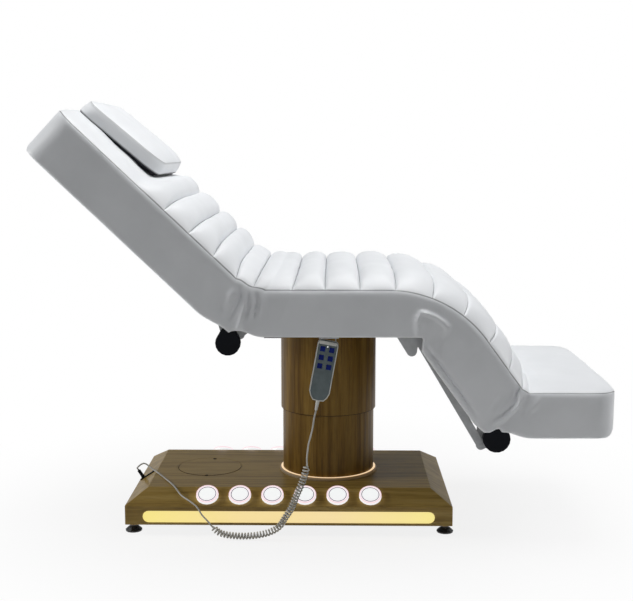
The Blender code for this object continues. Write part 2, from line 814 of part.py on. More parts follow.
def make_lift(carriage):
    square_tube("lift_outer_tube", OUTER_TUBE_WIDTH, base_plate_top(), OUTER_TUBE_TOP)
    plate_low = top_plate_low()
    square_tube("lift_inner_tube", INNER_TUBE_WIDTH, INNER_TUBE_FOOT, plate_low - GAP, carriage)
    inner = UPPER_SLEEVE_RADIUS - UPPER_SLEEVE_WALL
    sleeve_top = plate_low - GAP
    turned(
        "upper_sleeve",
        [
            (UPPER_SLEEVE_RADIUS, sleeve_top),
            (UPPER_SLEEVE_RADIUS, UPPER_SLEEVE_FOOT),
            (inner, UPPER_SLEEVE_FOOT),
            (inner, sleeve_top),
            (UPPER_SLEEVE_RADIUS, sleeve_top),
        ],
        48,
        walnut(),
        carriage,
    )
    top_plate = box(
        "top_plate",
        (-TOP_PLATE_LENGTH / 2, -TOP_PLATE_WIDTH / 2, plate_low),
        (TOP_PLATE_LENGTH / 2, TOP_PLATE_WIDTH / 2, plate_low + TOP_PLATE_THICK),
        grey_steel(),
        carriage,
    )
    bevel(top_plate, 0.001, 1)


def top_plate_low():
    return SEAT_BOTTOM + RAIL_HEIGHT - GAP - TOP_PLATE_THICK


def make_service_cover():
    x, y = COVER_CENTRE
    seat = PLINTH_TOP - COVER_SEAT + GAP
    frame = joint_frame("service_cover_frame", x, seat, 0.0, None, y)
    cover = rod("service_cover", COVER_RADIUS, (0, 0, 0), (0, 0, COVER_THICK), walnut(), frame, 36)
    for side in (-1, 1):
        notch_y = side * COVER_RADIUS
        notch = rod(
            "cover_notch",
            COVER_NOTCH_RADIUS,
            (0, notch_y, -OVERRUN),
            (0, notch_y, COVER_THICK + OVERRUN),
            None,
            frame,
            12,
        )
        cut(cover, notch)


def make_control_box():
    length, width, height = CONTROL_BOX
    x, y = COVER_CENTRE
    low = base_plate_top()
    casing = box(
        "control_box",
        (x - length / 2, y - width / 2, low),
        (x + length / 2, y + width / 2, low + height),
        grey_steel(),
    )
    bevel(casing, 0.004, 2)


def inlet_half_sizes(grow):
    half_w = INLET_WIDTH / 2 - INLET_FLANGE / 2 + grow
    half_h = INLET_HEIGHT / 2 - INLET_FLANGE / 2 + grow
    return half_w, half_h


def make_mains_inlet():
    end_x = PLINTH_CENTRE_X + PLINTH_LENGTH / 2
    half_w, half_h = inlet_half_sizes(0.0)
    inlet = box(
        "mains_inlet",
        (end_x + GAP, -INLET_WIDTH / 2, PANEL_CENTRE_Z - INLET_HEIGHT / 2),
        (end_x + GAP + INLET_PROUD, INLET_WIDTH / 2, PANEL_CENTRE_Z + INLET_HEIGHT / 2),
        black_plastic(),
    )
    body = box(
        "inlet_body",
        (end_x - INLET_DEPTH, -half_w, PANEL_CENTRE_Z - half_h),
        (end_x + GAP + FUSE, half_w, PANEL_CENTRE_Z + half_h),
    )
    unite(inlet, body)
    pit_w, pit_h = half_w - INLET_FLANGE / 2, half_h - INLET_FLANGE / 2
    face = end_x + INLET_PROUD
    pit = box(
        "inlet_pit",
        (face - INLET_PIT, -pit_w, PANEL_CENTRE_Z - pit_h),
        (face + OVERRUN, pit_w, PANEL_CENTRE_Z + pit_h),
    )
    cut(inlet, pit)


def socket_matrix():
    """A frame on the head-end shoulder: its Z points out of the slope."""
    slope = math.atan2(PLINTH_TOP - CHAMFER_FOOT, CHAMFER_RUN)
    up_slope = SOCKET_X - (PLINTH_CENTRE_X - PLINTH_LENGTH / 2)
    z = CHAMFER_FOOT + up_slope * math.tan(slope)
    return Matrix.Translation((SOCKET_X, SOCKET_Y, z)) @ Matrix.Rotation(-slope, 4, "Y")


def make_handset_socket():
    """The slim plate on the head-end shoulder that the handset cord goes into."""
    length, width, thick = SOCKET_PLATE
    frame = socket_matrix()
    outline = rounded_rectangle(length, width, width / 2 - WELD, 4)
    lie_down = Matrix.Rotation(math.radians(-90), 4, "X")
    plate = flat_solid(
        "handset_socket",
        outline,
        thick,
        black_plastic(),
        place_at=frame @ Matrix.Translation((0.25 * length, 0, GAP + thick / 2)) @ lie_down,
    )
    unite(
        plate,
        tilted_rod("socket_boss", frame, SOCKET_BOSS_RADIUS, GAP + thick / 2, SOCKET_BOSS_HEIGHT, None, 16),
        tilted_rod("socket_stem", frame, SOCKET_STEM_RADIUS, -PLINTH_WALL, GAP + thick / 2, None, 16),
    )


# Outlines shared by the couch's steel parts

def hull(*circles):
    """The outline a belt takes round circles given as (x, z, radius)."""
    points = []
    for x, z, radius in circles:
        points += arc((x, z), radius, 0, 360, 18)[:-1]
    points = sorted(set(points))

    def chain(sequence):
        kept = []
        for point in sequence:
            while len(kept) > 1 and turn(kept[-2], kept[-1], point) <= 0:
                kept.pop()
            kept.append(point)
        return kept[:-1]

    return chain(points) + chain(reversed(points))


def turn(first, second, third):
    return (second[0] - first[0]) * (third[1] - first[1]) - (second[1] - first[1]) * (third[0] - first[0])


def plate(name, circles, inner_y, thick, side, parent, finish=None):
    """A flat plate round some circles, on one side of the bed."""
    middle = side * (inner_y + thick / 2)
    return flat_solid(name, hull(*circles), thick, finish, parent, shift_y(middle))


def crossing(name, radius, x, z, half, parent, finish=None, segments=12):
    """A round bar right across the bed."""
    return rod(name, radius, (x, -half, z), (x, half, z), finish, parent, segments)


def steel_frame(name, parent, rails, bars, low, outer_y, direction=1):
    """Two rails and their cross bars. Lengths run along the section; direction is -1 for the head side."""
    def span(start, end):
        return sorted((direction * start, direction * end))

    first = span(bars[0], bars[0] + BAR_WIDTH)
    inner = outer_y - FUSE
    high = low + RAIL_HEIGHT
    frame = box(
        name, (first[0], -inner, low + BAR_SHY), (first[1], inner, high - BAR_SHY), grey_steel(), parent
    )
    x0, x1 = span(*rails)
    for side in (-1, 1):
        near, far = sorted((side * (outer_y + FUSE), side * (outer_y - RAIL_WIDTH)))
        unite(frame, box(name + "_rail", (x0, near, low), (x1, far, high), None, parent))
    for bar in bars[1:]:
        b0, b1 = span(bar, bar + BAR_WIDTH)
        unite(
            frame,
            box(name + "_bar", (b0, -inner, low + BAR_SHY), (b1, inner, high - BAR_SHY), None, parent),
        )
    return frame


def add_lugs(frame, parent, pivot, root, outer_y):
    """Hinge lugs on the outer faces of the rails."""
    circles = ((*pivot, LUG_RADIUS), (*root, LUG_ROOT_RADIUS))
    for side in (-1, 1):
        unite(frame, plate("lug", circles, outer_y, LUG_THICK, side, parent))


def pin_hole(frame, parent, pivot, name="pin_hole"):
    cut(frame, crossing(name, PIN_RADIUS + HOLE_EASE, *pivot, OUTER_RAIL_Y + 3 * OVERRUN, parent))


def add_lever(frame, parent, root, lean, reach, fold, slot_free):
    """A slotted lever under the hinge, leaning with its section."""
    away = (math.sin(lean), -math.cos(lean))
    last = reach / math.cos(fold)
    slot = ROD_PIN_RADIUS + slot_free
    tip = (away[0] * last, away[1] * last)
    start = (away[0] * reach, away[1] * reach)
    inner = LEVER_Y - LEVER_THICK / 2
    unite(
        frame,
        plate(
            "lever_root", ((0, 0, LEVER_HUB - FUSE), (*root, LUG_ROOT_RADIUS)),
            inner + BAR_SHY, LEVER_THICK - 2 * BAR_SHY, 1, parent,
        ),
        plate("lever", ((0, 0, LEVER_HUB), (*tip, slot + LEVER_EDGE)), inner, LEVER_THICK, 1, parent),
    )
    cut(
        frame,
        plate("lever_slot", ((*start, slot), (*tip, slot)), inner - FUSE, LEVER_THICK + 2 * FUSE, 1, parent),
    )


# Padded sections

def pad_ring(row):
    """The corners of one cross-section of a pad, hollowed from below for the frame."""
    half, side, crown, pocket = row["half"], row["side"], row["crown"], row["pocket"]
    low = -side + row["rise"]
    high = -row["drop"]
    edge = min(UNDER_EDGE, (high - low) / 4)
    right = [(share * half, high + crown * math.sqrt(1 - share**4)) for share in CROWN_SHARES]
    right += [
        (half, high),
        (half - SIDE_DRAWN_IN, (high + low) / 2),
        (half, low + edge),
        (half - edge, low),
        (half - RIM_WIDTH, low),
        (half - RIM_WIDTH, low + pocket),
    ]
    left = [(-across, up) for across, up in reversed(right[1:])]
    (x, z), (up_x, up_z) = row["seam"], row["up"]
    return [(x + up_x * up, across, z + up_z * up) for across, up in right + left]


def pad_row(seam, up, side, crown, half=COUCH_WIDTH / 2, pocket=POCKET_DEPTH, rise=0.0, drop=0.0):
    return {
        "seam": seam, "up": up, "side": side, "crown": crown,
        "half": half, "pocket": pocket, "rise": rise, "drop": drop,
    }


def pad_cap():
    """The corner numbers of the faces that close a pad's end: bands from crown to pocket, then two rims."""
    edge = len(CROWN_SHARES)
    under = edge + 5
    last = 2 * under + 1
    faces = [(0, 1, last - 1)]
    faces += [(level, level + 1, last - level - 1, last - level) for level in range(1, edge + 1)]
    faces.append((edge + 1, under, last - under, last - edge - 1))
    rim = tuple(range(edge + 1, under + 1))
    faces += [rim, tuple(last - corner for corner in rim)]
    return faces


def loft(name, rings, finish, parent, cap=None):
    """A closed body through rings that have the same number of corners."""
    def build(work):
        made = [[work.verts.new(point) for point in ring] for ring in rings]
        count = len(rings[0])
        for first, second in zip(made, made[1:]):
            for index in range(count):
                follow = (index + 1) % count
                work.faces.new((first[index], first[follow], second[follow], second[index]))
        for ring in (made[0], made[-1]):
            if cap:
                ends = [work.faces.new([ring[corner] for corner in corners]) for corners in cap]
            else:
                ends = [work.faces.new(ring)]
            bmesh.ops.triangulate(work, faces=ends)
        bmesh.ops.remove_doubles(work, verts=work.verts, dist=WELD)
        bmesh.ops.recalc_face_normals(work, faces=work.faces)

    made = place(mesh_of(name, build), name, finish, parent)
    smooth(made)
    return made


def pad(name, rows, parent):
    return loft(name, [pad_ring(row) for row in rows], white_leather(), parent, pad_cap())


def puffed(start, edges, valley=CROWN_VALLEY):
    """Stations and crown heights of the channels between start and each edge."""
    stations = [(start, valley)]
    for edge in edges:
        for along, puff in PUFF_SHARES:
            stations.append((start + (edge - start) * along, valley + (CROWN_BUMP - valley) * puff))
        stations.append((edge, valley))
        start = edge
    return stations


def eased(position, full, none):
    """Falls from 1 at full to 0 at none, and stays there."""
    return min(1.0, max(0.0, (none - position) / (none - full)))


def end_rows(to_seam, length, corner, side, crown, round_top, round_bottom):
    """The last rows of a section, turning round its plan corners."""
    rows = []
    for share in END_TURN_SHARES:
        angle = share * math.pi / 2
        station = length - corner + corner * math.sin(angle)
        half = COUCH_WIDTH / 2 - corner + corner * math.cos(angle)
        past_top = max(0.0, station - (length - round_top))
        past_bottom = max(0.0, station - (length - round_bottom))
        drop = round_top - math.sqrt(max(0.0, round_top**2 - past_top**2))
        rise = round_bottom - math.sqrt(max(0.0, round_bottom**2 - past_bottom**2))
        height = crown * math.sqrt(max(0.0, 1 - share**2)) + FUSE
        rows.append(pad_row(to_seam(station), (0.0, 1.0), side, height, half, 0.0, rise, drop))
    return rows


def make_back_section(back):
    seam_w = BACK_BOTTOM + BACK_SIDE
    lean = math.tan(BACK_HALF_FOLD)
    start = seam_w * lean + CREASE_TOUCH

    def to_seam(station):
        return (-station, seam_w)

    stations = puffed(start, BACK_CHANNEL_EDGES)
    edge, close = BACK_CHANNEL_EDGES[-1], BACK_LENGTH - POCKET_FROM_END
    stations += [(edge + share * (close - edge), PLAIN_CROWN) for share in BACK_PLAIN_SHARES]
    rows = []
    for station, crown in stations:
        tilt = lean * eased(station, start, BACK_CHANNEL_EDGES[1])
        rows.append(pad_row(to_seam(station), (-tilt, 1.0), BACK_SIDE, crown))
    rows.append(pad_row(to_seam(close), (0.0, 1.0), BACK_SIDE, PLAIN_CROWN))
    rows.append(pad_row(to_seam(close), (0.0, 1.0), BACK_SIDE, PLAIN_CROWN, pocket=0.0))
    rows.append(pad_row(to_seam(BACK_LENGTH - HEAD_CORNER), (0.0, 1.0), BACK_SIDE, PLAIN_CROWN, pocket=0.0))
    rows += end_rows(
        to_seam, BACK_LENGTH, HEAD_CORNER, BACK_SIDE, PLAIN_CROWN, HEAD_END_ROUND, HEAD_END_ROUND
    )
    pad("backrest_cushion", rows, back)

    frame = steel_frame("backrest_frame", back, BACK_RAILS, BACK_BARS, BACK_BOTTOM, OUTER_RAIL_Y, -1)
    root = (-LUG_REACH, BACK_BOTTOM + RAIL_HEIGHT / 2)
    add_lugs(frame, back, (0, 0), root, OUTER_RAIL_Y)
    lean = BACK_ANGLE - BACK_LEVER_LEAN
    add_lever(frame, back, root, lean, BACK_LEVER, BACK_HALF_FOLD, BACK_SLOT_FREE)
    pin_hole(frame, back, (0, 0))
    low = BACK_BOTTOM + RAIL_HEIGHT + GAP
    box(
        "backrest_board",
        (-BACK_BOARD[1], -OUTER_RAIL_Y, low),
        (-BACK_BOARD[0], OUTER_RAIL_Y, low + BOARD_THICK - 2 * GAP),
        black_plastic(),
        back,
    )


def make_crease(name, pivot, angles, fold, seams, sides, crowns, parent):
    """The pad between two sections: rays from the hinge, from one end plane to the other."""
    rows = []
    last = len(crowns) - 1
    for index, crown in enumerate(crowns):
        share = index / last
        angle = math.radians(angles[0] + (angles[1] - angles[0]) * share)
        up = (math.sin(angle) / math.cos(fold), math.cos(angle) / math.cos(fold))
        seam = seams[0] + (seams[1] - seams[0]) * share
        side = sides[0] + (sides[1] - sides[0]) * share
        rows.append(pad_row((pivot[0] + up[0] * seam, pivot[1] + up[1] * seam), up, side, crown))
    pad(name, rows, parent)


def knee_rows():
    """The pad that bends over the knee: rays from the middle of its arc, in the carriage's frame."""
    rows = [pad_row((SEAT_CHANNEL_EDGES[-1], SEAM_HEIGHT), (0.0, 1.0), SEAM_HEIGHT - SEAT_BOTTOM, CROWN_VALLEY)]
    full = math.degrees(LEG_ANGLE)
    for turned_by, crown in zip(KNEE_TURNS, KNEE_CROWNS):
        angle = math.radians(turned_by)
        near = math.cos(math.radians(min(turned_by, full - turned_by)))
        up = (math.sin(angle), math.cos(angle))
        seam = (KNEE_CENTRE[0] + up[0] * KNEE_RADIUS, KNEE_CENTRE[1] + up[1] * KNEE_RADIUS)
        side = KNEE_RADIUS - KNEE_UNDER_RADIUS / near
        rows.append(pad_row(seam, up, side, crown, pocket=POCKET_DEPTH / near))
    up = (math.sin(LEG_ANGLE), math.cos(LEG_ANGLE))
    seam = leg_to_world(LEG_START - CREASE_TOUCH, LEG_BOTTOM + LEG_SIDE)
    rows.append(pad_row(seam, up, LEG_SIDE, CROWN_VALLEY))
    return rows


def leg_to_world(station, height):
    """A point of the leg section in the carriage's frame, at rest."""
    x = KNEE_PIVOT[0] + station * math.cos(LEG_ANGLE) + height * math.sin(LEG_ANGLE)
    z = KNEE_PIVOT[1] - station * math.sin(LEG_ANGLE) + height * math.cos(LEG_ANGLE)
    return (x, z)


def make_seat_section(carriage):
    side = SEAM_HEIGHT - SEAT_BOTTOM
    seam_h = SEAM_HEIGHT - BACK_PIVOT[1]
    lean = math.tan(BACK_HALF_FOLD)
    start = BACK_PIVOT[0] + seam_h * lean + CREASE_TOUCH
    edges = (*SEAT_CHANNEL_EDGES[:-1], SEAT_CHANNEL_EDGES[-1] - CREASE_TOUCH)
    rows = []
    for station, crown in puffed(start, edges):
        tilt = lean * eased(station, start, SEAT_CHANNEL_EDGES[1])
        rows.append(pad_row((station, SEAM_HEIGHT), (tilt, 1.0), side, crown))
    pad("seat_cushion", rows, carriage)
    pad("knee_roll", knee_rows(), carriage)
    back_seam = BACK_BOTTOM + BACK_SIDE
    angles = (math.degrees(BACK_ANGLE - BACK_HALF_FOLD), math.degrees(BACK_HALF_FOLD))
    make_crease(
        "back_crease", BACK_PIVOT, angles, BACK_HALF_FOLD,
        (back_seam, seam_h), (BACK_SIDE, side), CREASE_CROWNS, carriage,
    )

    frame = steel_frame("seat_frame", carriage, SEAT_RAILS, SEAT_BARS, SEAT_BOTTOM, INNER_RAIL_Y)
    x0, x1 = KNEE_PIVOT[0] + OUTRIGGER[0], KNEE_PIVOT[0] + OUTRIGGER[1]
    z0, z1 = KNEE_PIVOT[1] + OUTRIGGER[2], KNEE_PIVOT[1] + OUTRIGGER[3]
    reach = LINK_PLATE_Y - GAP
    unite(frame, box("outrigger", (x0, -reach, z0), (x1, reach, z1), None, carriage))
    middle = SEAT_BOTTOM + RAIL_HEIGHT / 2
    add_lugs(frame, carriage, BACK_PIVOT, (BACK_PIVOT[0] + LUG_REACH, middle), INNER_RAIL_Y)
    add_lugs(frame, carriage, KNEE_PIVOT, (KNEE_PIVOT[0] - LUG_REACH, middle), INNER_RAIL_Y)
    unite(
        frame,
        crossing("back_shaft", PIN_RADIUS, *BACK_PIVOT, BACK_SHAFT_Y, carriage),
        crossing("knee_shaft", PIN_RADIUS, *KNEE_PIVOT, KNEE_SHAFT_Y, carriage),
    )
    low = SEAT_BOTTOM + RAIL_HEIGHT + GAP
    board_y = INNER_RAIL_Y - GAP
    box(
        "seat_board",
        (SEAT_BOARD[0], -board_y, low),
        (SEAT_BOARD[1], board_y, low + BOARD_THICK - 2 * GAP),
        black_plastic(),
        carriage,
    )


def make_leg_section(leg):
    seam_w = LEG_BOTTOM + LEG_SIDE
    lean = math.tan(FOOT_HALF_FOLD)
    end = FOOT_PIVOT_ON_LEG[0] - (seam_w - FOOT_PIVOT_ON_LEG[1]) * lean - CREASE_TOUCH
    rows = []
    for station, crown in puffed(LEG_START, (*LEG_CHANNEL_EDGES, end)):
        tilt = -lean * eased(station, end, LEG_START)
        rows.append(pad_row((station, seam_w), (tilt, 1.0), LEG_SIDE, crown))
    pad("leg_cushion", rows, leg)

    frame = steel_frame("leg_frame", leg, LEG_RAILS, LEG_BARS, LEG_BOTTOM, OUTER_RAIL_Y)
    low = LEG_BOTTOM + RAIL_HEIGHT
    panel = box(
        "leg_panel",
        (LEG_PANEL[0], -OUTER_RAIL_Y, low - FUSE),
        (LEG_PANEL[1], OUTER_RAIL_Y, low + BOARD_THICK - GAP),
        None,
        leg,
    )
    unite(frame, panel)
    middle = LEG_BOTTOM + RAIL_HEIGHT / 2
    add_lugs(frame, leg, (0, 0), (LUG_REACH, middle), OUTER_RAIL_Y)
    foot_root = (FOOT_PIVOT_ON_LEG[0] - LUG_REACH, middle)
    add_lugs(frame, leg, FOOT_PIVOT_ON_LEG, foot_root, OUTER_RAIL_Y)
    add_lever(
        frame, leg, (LUG_REACH, middle), LEG_ANGLE - LEG_LEVER_LEAN, LEG_LEVER, FOOT_HALF_FOLD, LEG_SLOT_FREE
    )
    pin_hole(frame, leg, (0, 0), "knee_hole")
    pin_hole(frame, leg, FOOT_PIVOT_ON_LEG, "foot_hole")


def make_foot_section(foot, carriage):
    seam_h = FOOT_BOTTOM + FOOT_SIDE
    lean = math.tan(FOOT_HALF_FOLD)
    start = seam_h * lean + CREASE_TOUCH

    def to_seam(station):
        return (station, seam_h)

    rows = []
    for station in (start, (start + FOOT_ROWS[0]) / 2, *FOOT_ROWS):
        tilt = lean * eased(station, start, FOOT_ROWS[1])
        rows.append(pad_row(to_seam(station), (tilt, 1.0), FOOT_SIDE, FOOT_CROWN))
    close = FOOT_LENGTH - POCKET_FROM_END
    rows.append(pad_row(to_seam(close), (0.0, 1.0), FOOT_SIDE, FOOT_CROWN))
    rows.append(pad_row(to_seam(close), (0.0, 1.0), FOOT_SIDE, FOOT_CROWN, pocket=0.0))
    rows.append(pad_row(to_seam(FOOT_LENGTH - FOOT_CORNER), (0.0, 1.0), FOOT_SIDE, FOOT_CROWN, pocket=0.0))
    rows += end_rows(
        to_seam, FOOT_LENGTH, FOOT_CORNER, FOOT_SIDE, FOOT_CROWN, HEAD_END_ROUND, FOOT_END_ROUND
    )
    pad("foot_cushion", rows, foot)
    leg_seam = LEG_BOTTOM + LEG_SIDE - FOOT_PIVOT_ON_LEG[1]
    angles = (math.degrees(LEG_ANGLE - FOOT_HALF_FOLD), math.degrees(FOOT_HALF_FOLD))
    make_crease(
        "foot_crease", FOOT_PIVOT, angles, FOOT_HALF_FOLD,
        (leg_seam, seam_h), (LEG_SIDE, FOOT_SIDE), (CROWN_VALLEY, 0.020, FOOT_CROWN), carriage,
    )

    frame = steel_frame("foot_frame", foot, FOOT_RAILS, FOOT_BARS, FOOT_BOTTOM, INNER_RAIL_Y)
    low = FOOT_BOTTOM + RAIL_HEIGHT
    panel = box(
        "foot_panel",
        (FOOT_RAILS[0], -INNER_RAIL_Y, low - FUSE),
        (FOOT_RAILS[1], INNER_RAIL_Y, low + BOARD_THICK - GAP),
        None,
        foot,
    )
    unite(frame, panel)
    add_lugs(frame, foot, (0, 0), (LUG_REACH, FOOT_BOTTOM + RAIL_HEIGHT / 2), INNER_RAIL_Y)
    unite(frame, crossing("foot_shaft", PIN_RADIUS, 0, 0, FOOT_SHAFT_Y, foot))
    circles = ((0, 0, LUG_RADIUS), (*LINK_SHIFT, ARM_END_RADIUS), ARM_CORNER)
    for side in (-1, 1):
        unite(
            frame,
            plate("link_arm", circles, LINK_PLATE_Y, LINK_PLATE_THICK, side, foot),
            link_pin(*LINK_SHIFT, side, foot),
        )
        cover = plate(
            f"foot_knuckle_cover_{side_name(side)}", ((0, 0, FOOT_COVER_RADIUS),),
            FOOT_COVER_Y, HINGE_COVER_THICK, side, foot, black_plastic(),
        )
        bevel(cover, HINGE_COVER_EDGE, 1)


def side_name(side):
    return "front" if side < 0 else "rear"


def link_pin(x, z, side, parent):
    inner = LINK_PLATE_Y + LINK_PLATE_THICK - FUSE
    return rod("link_pin", LINK_PIN_RADIUS, (x, side * inner, z), (x, side * LINK_PIN_END, z), None, parent, 12)


def make_links(carriage):
    """Two flat bars that run beside the leg section and hold the foot section level."""
    x, z = KNEE_PIVOT[0] + LINK_SHIFT[0], KNEE_PIVOT[1] + LINK_SHIFT[1]
    circles = [(KNEE_PIVOT[0] + across, KNEE_PIVOT[1] + up, radius) for across, up, radius in BRACKET_CIRCLES]
    for side in (-1, 1):
        bracket = plate(
            f"link_bracket_{side_name(side)}", circles,
            LINK_PLATE_Y, LINK_PLATE_THICK, side, carriage, grey_steel(),
        )
        unite(bracket, link_pin(x, z, side, carriage))
        frame = joint_frame(f"link_bar_frame_{side_name(side)}", x, z, LEG_ANGLE, carriage)
        ends = ((0, 0, LINK_WIDTH / 2), (*FOOT_PIVOT_ON_LEG, LINK_WIDTH / 2))
        bar = plate(
            f"link_bar_{side_name(side)}", ends, LINK_Y, LINK_THICK, side, frame, grey_steel()
        )
        for pivot, ease in (((0, 0), HOLE_EASE), (FOOT_PIVOT_ON_LEG, LINK_OPEN_EASE)):
            start, end = side * (LINK_Y - OVERRUN), side * (LINK_Y + LINK_THICK + OVERRUN)
            radius = LINK_PIN_RADIUS + ease
            hole = rod(
                "link_hole", radius, (pivot[0], start, pivot[1]), (pivot[0], end, pivot[1]), None, frame, 12
            )
            cut(bar, hole)


def make_hinge_covers(carriage):
    x, z = BACK_PIVOT
    circles = ((x, z, HINGE_COVER_RADIUS), (x, z + HINGE_COVER_RISE, HINGE_COVER_RADIUS - HINGE_COVER_RISE / 2))
    for side in (-1, 1):
        cover = plate(
            f"back_hinge_cover_{side_name(side)}", circles,
            HINGE_COVER_Y, HINGE_COVER_THICK, side, carriage, black_plastic(),
        )
        bevel(cover, HINGE_COVER_EDGE, 1)


def make_actuator(name, carriage, pivot, lever, lean, rate, span, bore_end, rod_end, brace):
    """A linear actuator: a fixed body, and a rod whose pin runs in a lever's slot."""
    z = pivot[1] - lever
    pin_x = pivot[0] - rate * lean
    mouth = span[0] if bore_end < span[1] and pin_x < span[0] else span[1]
    outward = -1 if mouth == span[0] else 1
    body = rod(
        f"{name}_actuator_body", ACTUATOR_RADIUS,
        (span[0], ACTUATOR_Y, z), (span[1], ACTUATOR_Y, z), black_plastic(), carriage,
    )
    half = BRACE_WIDTH / 2
    top = SEAT_BOTTOM + BAR_SHY - GAP
    unite(
        body,
        box(
            "actuator_brace",
            (brace[0], ACTUATOR_Y - half, z + ROD_RADIUS * 2),
            (brace[1], ACTUATOR_Y + half, top),
            None,
            carriage,
        ),
    )
    bore_start = (mouth + outward * OVERRUN, ACTUATOR_Y, z)
    cut(body, rod("bore", ACTUATOR_BORE, bore_start, (bore_end, ACTUATOR_Y, z), None, carriage, 20))
    frame = joint_frame(f"{name}_actuator_rod_frame", pin_x, z, 0.0, carriage, ACTUATOR_Y)
    shaft = rod(
        f"{name}_actuator_rod", ROD_RADIUS,
        (outward * ROD_PAST_PIN, 0, 0), (rod_end - pin_x, 0, 0), grey_steel(), frame, 20,
    )
    end_y = ROD_PIN_END_Y - ACTUATOR_Y
    unite(shaft, rod("rod_pin", ROD_PIN_RADIUS, (0, 0, 0), (0, end_y, 0), None, frame, 20))


def make_pillow(back):
    """A wedge-tilted head pillow, resting on the last channel and the plain end of the backrest."""
    frame = joint_frame("pillow_frame", -PILLOW_HEAD[0], PILLOW_HEAD[1], -PILLOW_TILT, back)
    half_width, half_length = PILLOW_WIDTH / 2, PILLOW_LENGTH / 2

    def pillow_ring(along, half, share):
        """One cross-section; share is 1 in the middle and falls towards both ends."""
        seam = PILLOW_UNDER
        high = [(part * half, seam + PILLOW_CROWN * share * math.sqrt(1 - part**4)) for part in CROWN_SHARES]
        core = half * PILLOW_CORE_SHARE
        low = [(half, seam), (half - (half - core) / 3, seam * (1 - share) + seam * share / 4)]
        low.append((core, seam * (1 - share)))
        right = high + low
        left = [(-across, up) for across, up in reversed(right[1:])]
        return [(along, across, up) for across, up in right + left]

    rings = []
    for share in reversed(PILLOW_TURN_SHARES):
        rings.append((-1, share))
    for share in PILLOW_TURN_SHARES:
        rings.append((1, share))
    profile = []
    for direction, share in rings:
        angle = share * math.pi / 2
        along = direction * (half_length - PILLOW_CORNER + PILLOW_CORNER * math.sin(angle))
        half = half_width - PILLOW_CORNER + PILLOW_CORNER * math.cos(angle)
        profile.append(pillow_ring(along + half_length, half, math.sqrt(1 - share**2) * 0.98 + 0.02))
    loft("pillow", profile, white_leather(), frame)


# Handset and its hook

def handset_outline():
    half, top = HANDSET_WIDTH / 2, HANDSET_LENGTH / 2
    corner = HANDSET_CORNER
    points = arc((half - corner, top - corner), corner, 0, 90, 5)
    points += arc((-half + corner, top - corner), corner, 90, 180, 5)
    foot = HANDSET_FOOT_WIDTH / 2
    points += [(-half, -top + HANDSET_FOOT_RISE), (-foot, -top), (foot, -top), (half, -top + HANDSET_FOOT_RISE)]
    return points


def key_places():
    places = []
    for row in range(3):
        for side in (-1, 1):
            places.append((side * KEY_PITCH_X / 2, KEY_TOP_Z - row * KEY_PITCH_Z))
    return places


def make_handset(carriage):
    hand = bpy.data.objects.new("handset_frame", None)
    PARTS.objects.link(hand)
    hand.location = HANDSET_CENTRE
    hand.rotation_euler = (0.0, HANDSET_TILT, 0.0)
    hand.parent = carriage
    front_face = -HANDSET_THICK / 2
    split = front_face + HANDSET_FRONT
    front = flat_solid(
        "handset_front", handset_outline(), HANDSET_FRONT, handset_grey(), hand,
        shift_y(front_face + HANDSET_FRONT / 2),
    )
    deep = HANDSET_THICK - HANDSET_FRONT - GAP
    back = flat_solid(
        "handset_back", handset_outline(), deep, handset_grey(), hand, shift_y(HANDSET_THICK / 2 - deep / 2)
    )
    bevel(front, HANDSET_EDGE, 2)
    bevel(back, HANDSET_EDGE, 2)
    unite(back, relief(hand, split))
    hole = KEY_SIZE / 2 + KEY_FIT
    for number, (x, z) in enumerate(key_places(), 1):
        cut(
            front,
            box(
                "key_hole",
                (x - hole, front_face - OVERRUN, z - hole),
                (x + hole, split + OVERRUN, z + hole),
                None,
                hand,
            ),
        )
        frame = bpy.data.objects.new(f"handset_key_{number}_frame", None)
        PARTS.objects.link(frame)
        frame.location = (x, front_face, z)
        frame.parent = hand
        half = KEY_SIZE / 2
        key = box(
            f"handset_key_{number}", (-half, -KEY_PROUD, -half), (half, KEY_DEPTH - KEY_PROUD, half),
            key_blue(), frame,
        )
        bevel(key, KEY_EDGE, 1)


def relief(hand, split):
    """The ribbed sleeve that the cord leaves the handset through."""
    top = HANDSET_FOOT_RISE / 2
    profile = [(0.0, top), (RELIEF_RADIUS, top), (RELIEF_RADIUS, 0.0)]
    for rib in range(RELIEF_RIBS):
        down = -RELIEF_LENGTH * (rib + 1) / RELIEF_RIBS
        radius = RELIEF_RADIUS + (RELIEF_TIP_RADIUS - RELIEF_RADIUS) * (rib + 1) / RELIEF_RIBS
        step = RELIEF_LENGTH / RELIEF_RIBS / 4
        profile += [(radius, down + step), (radius - RELIEF_GROOVE, down + step), (radius - RELIEF_GROOVE, down)]
    profile.append((0.0, -RELIEF_LENGTH))
    sleeve = turned("cord_relief", profile, 10, None, hand)
    sleeve.location = (0.0, split + GAP + RELIEF_RADIUS + FUSE, -HANDSET_LENGTH / 2)
    return sleeve


